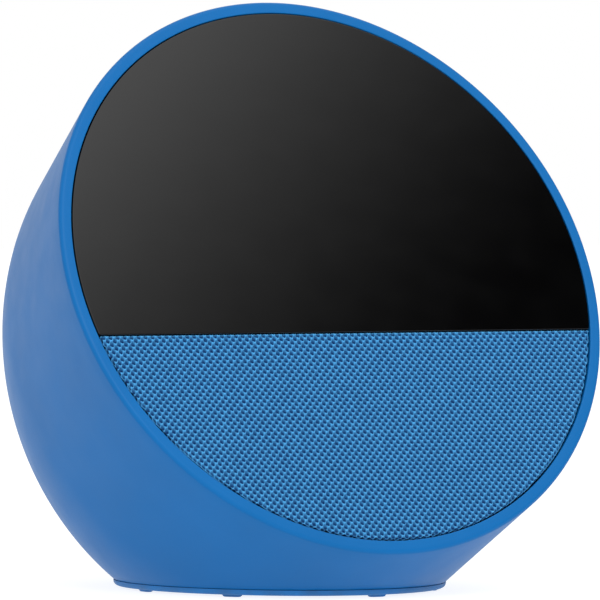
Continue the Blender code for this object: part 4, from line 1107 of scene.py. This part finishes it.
class DISPLAY_OT_studio(bpy.types.Operator):
    """Set up the pale floor, the soft light and the camera"""
    bl_idname = "display.studio"
    bl_label = "Studio"
    TARGET = np.array([0.0, -13.82, 54.78]) * MM
    SHIFT = (0.0007, -0.0018)

    def execute(self, context):
        studio = context.scene.display_studio
        context.scene.view_settings.view_transform = "Standard"
        self.floor()
        self.surroundings(context, studio.ambient)
        self.camera(context, studio)
        self.key_light(studio.key)
        self.graded_card()
        return {"FINISHED"}

    def floor(self):
        half = 3.0
        points = np.array([[-half, -half, 0.0], [half, -half, 0.0], [half, half, 0.0],
                           [-half, half, 0.0]])
        floor = new_piece("studio_floor", points, [(0, 1, 2, 3)])
        made = Finish("floor_paint").sets(Roughness=0.9, Specular_IOR_Level=0.0,
                                          Emission_Strength=0.85)
        made.sets(Emission_Color=(1.0, 1.0, 1.0, 1.0))
        made.colour(made.blend(made.noise(0.4), (0.29, 0.29, 0.29), (0.31, 0.31, 0.31)))
        dress(floor, made)

    def surroundings(self, context, strength):
        """White all round."""
        world = bpy.data.worlds.new("studio")
        world.use_nodes = True
        background = world.node_tree.nodes["Background"]
        background.inputs["Color"].default_value = (1.0, 1.0, 1.0, 1.0)
        background.inputs["Strength"].default_value = strength
        context.scene.world = world

    def camera(self, context, studio):
        sin_a, cos_a = math.sin(studio.azimuth), math.cos(studio.azimuth)
        sin_e, cos_e = math.sin(studio.elevation), math.cos(studio.elevation)
        back = np.array([sin_a * cos_e, -cos_a * cos_e, sin_e])
        right = np.array([cos_a, sin_a, 0.0])
        up = np.cross(back, right)
        sin_r, cos_r = math.sin(studio.roll), math.cos(studio.roll)
        matrix = np.eye(4)
        matrix[:3, 0] = cos_r * right + sin_r * up
        matrix[:3, 1] = cos_r * up - sin_r * right
        matrix[:3, 2] = back
        matrix[:3, 3] = self.TARGET + studio.distance * back
        lens = bpy.data.cameras.new("camera")
        lens.lens, lens.sensor_width = studio.lens, 36.0
        lens.shift_x, lens.shift_y = self.SHIFT
        lens.clip_start, lens.clip_end = 0.05, 20.0
        camera = bpy.data.objects.new("camera", lens)
        camera.matrix_world = Matrix(matrix.tolist())
        context.scene.collection.objects.link(camera)
        context.scene.camera = camera

    def key_light(self, power):
        light = bpy.data.lights.new("key", "AREA")
        light.shape, light.size, light.energy = "DISK", 0.9, power
        key = bpy.data.objects.new("key", light)
        key.location = (-0.25, -1.2, 1.05)
        aim = np.array([0.0, -0.01, 0.05]) - np.array(key.location)
        key.rotation_euler = _aimed(aim)
        bpy.context.scene.collection.objects.link(key)

    def graded_card(self):
        """A card that only glossy surfaces see, bright at one corner and dark at the other."""
        centre, view = FACE_CENTRE, unit(np.array([-0.496, -0.868, 0.025]))
        toward = unit(2 * (view @ FACE_AXIS) * FACE_AXIS - view)
        side = unit(np.cross(Z_AXIS, toward))
        up = np.cross(toward, side)
        half = 0.9
        corners = np.array([[-half, -half], [half, -half], [half, half], [-half, half]])
        points = centre + 0.5 * toward + corners @ np.array([side, up])
        card = new_piece("graded_card", points, [(0, 1, 2, 3)])
        made = Finish("card_light")
        self.grade(made, centre + 0.5 * toward, side, up)
        dress(card, made)
        card.visible_camera = card.visible_diffuse = card.visible_shadow = False
        card.visible_transmission = False

    def grade(self, made, origin, side, up):
        """Brightness falls evenly from one corner to the other, as the eye sees it."""
        tree = made.tree
        tree.nodes.remove(made.shader)
        glow = made.add("ShaderNodeEmission")
        away = made.add("ShaderNodeVectorMath", operation="SUBTRACT")
        made.join(made.place, away.inputs[0])
        away.inputs[1].default_value = origin
        along = made.add("ShaderNodeVectorMath", operation="DOT_PRODUCT")
        made.join(away.outputs["Vector"], along.inputs[0])
        along.inputs[1].default_value = unit(-0.30 * side + 0.95 * up)
        level = made.spread(along.outputs["Value"], 0.0, 1.0, -0.043, 0.071)
        bright = made.sums(made.sums(level, 2.1, "POWER"), 1.55, "MULTIPLY")
        made.join(bright, glow.inputs["Strength"])
        output = next(node for node in tree.nodes if node.type == "OUTPUT_MATERIAL")
        made.join(glow.outputs["Emission"], output.inputs["Surface"])


def _aimed(direction):
    """Turn that points a light's -Z along a direction."""
    return Vector(direction).to_track_quat("-Z", "Y").to_euler()


class DISPLAY_PT_panel(bpy.types.Panel):
    """Lists the settings and the pieces"""
    bl_label = "Round desk display"
    bl_idname = "DISPLAY_PT_panel"
    bl_space_type = "VIEW_3D"
    bl_region_type = "UI"
    bl_category = "Display"

    def draw(self, context):
        scene = context.scene
        for group in (scene.display_body, scene.display_face, scene.display_studio):
            box = self.layout.box()
            for name in group.bl_rna.properties.keys():
                if name not in ("rna_type", "name"):
                    box.prop(group, name)
        for operator in OPERATORS:
            self.layout.operator(operator.bl_idname)


SETTINGS = {"display_body": DisplayBodySettings, "display_face": DisplayFaceSettings,
            "display_studio": DisplayStudioSettings}
OPERATORS = (DISPLAY_OT_body, DISPLAY_OT_glass, DISPLAY_OT_knit, DISPLAY_OT_buttons,
             DISPLAY_OT_base, DISPLAY_OT_inner_finishes, DISPLAY_OT_studio)


def register():
    for kind in (*SETTINGS.values(), *OPERATORS, DISPLAY_PT_panel):
        bpy.utils.register_class(kind)
    for name, kind in SETTINGS.items():
        setattr(bpy.types.Scene, name, bpy.props.PointerProperty(type=kind))


def unregister():
    for name in SETTINGS:
        delattr(bpy.types.Scene, name)
    for kind in (DISPLAY_PT_panel, *reversed(OPERATORS), *reversed(SETTINGS.values())):
        bpy.utils.unregister_class(kind)


def main():
    register()
    for operator in OPERATORS:
        group, name = operator.bl_idname.split(".")
        getattr(getattr(bpy.ops, group), name)()


if __name__ == "__main__":
    main()
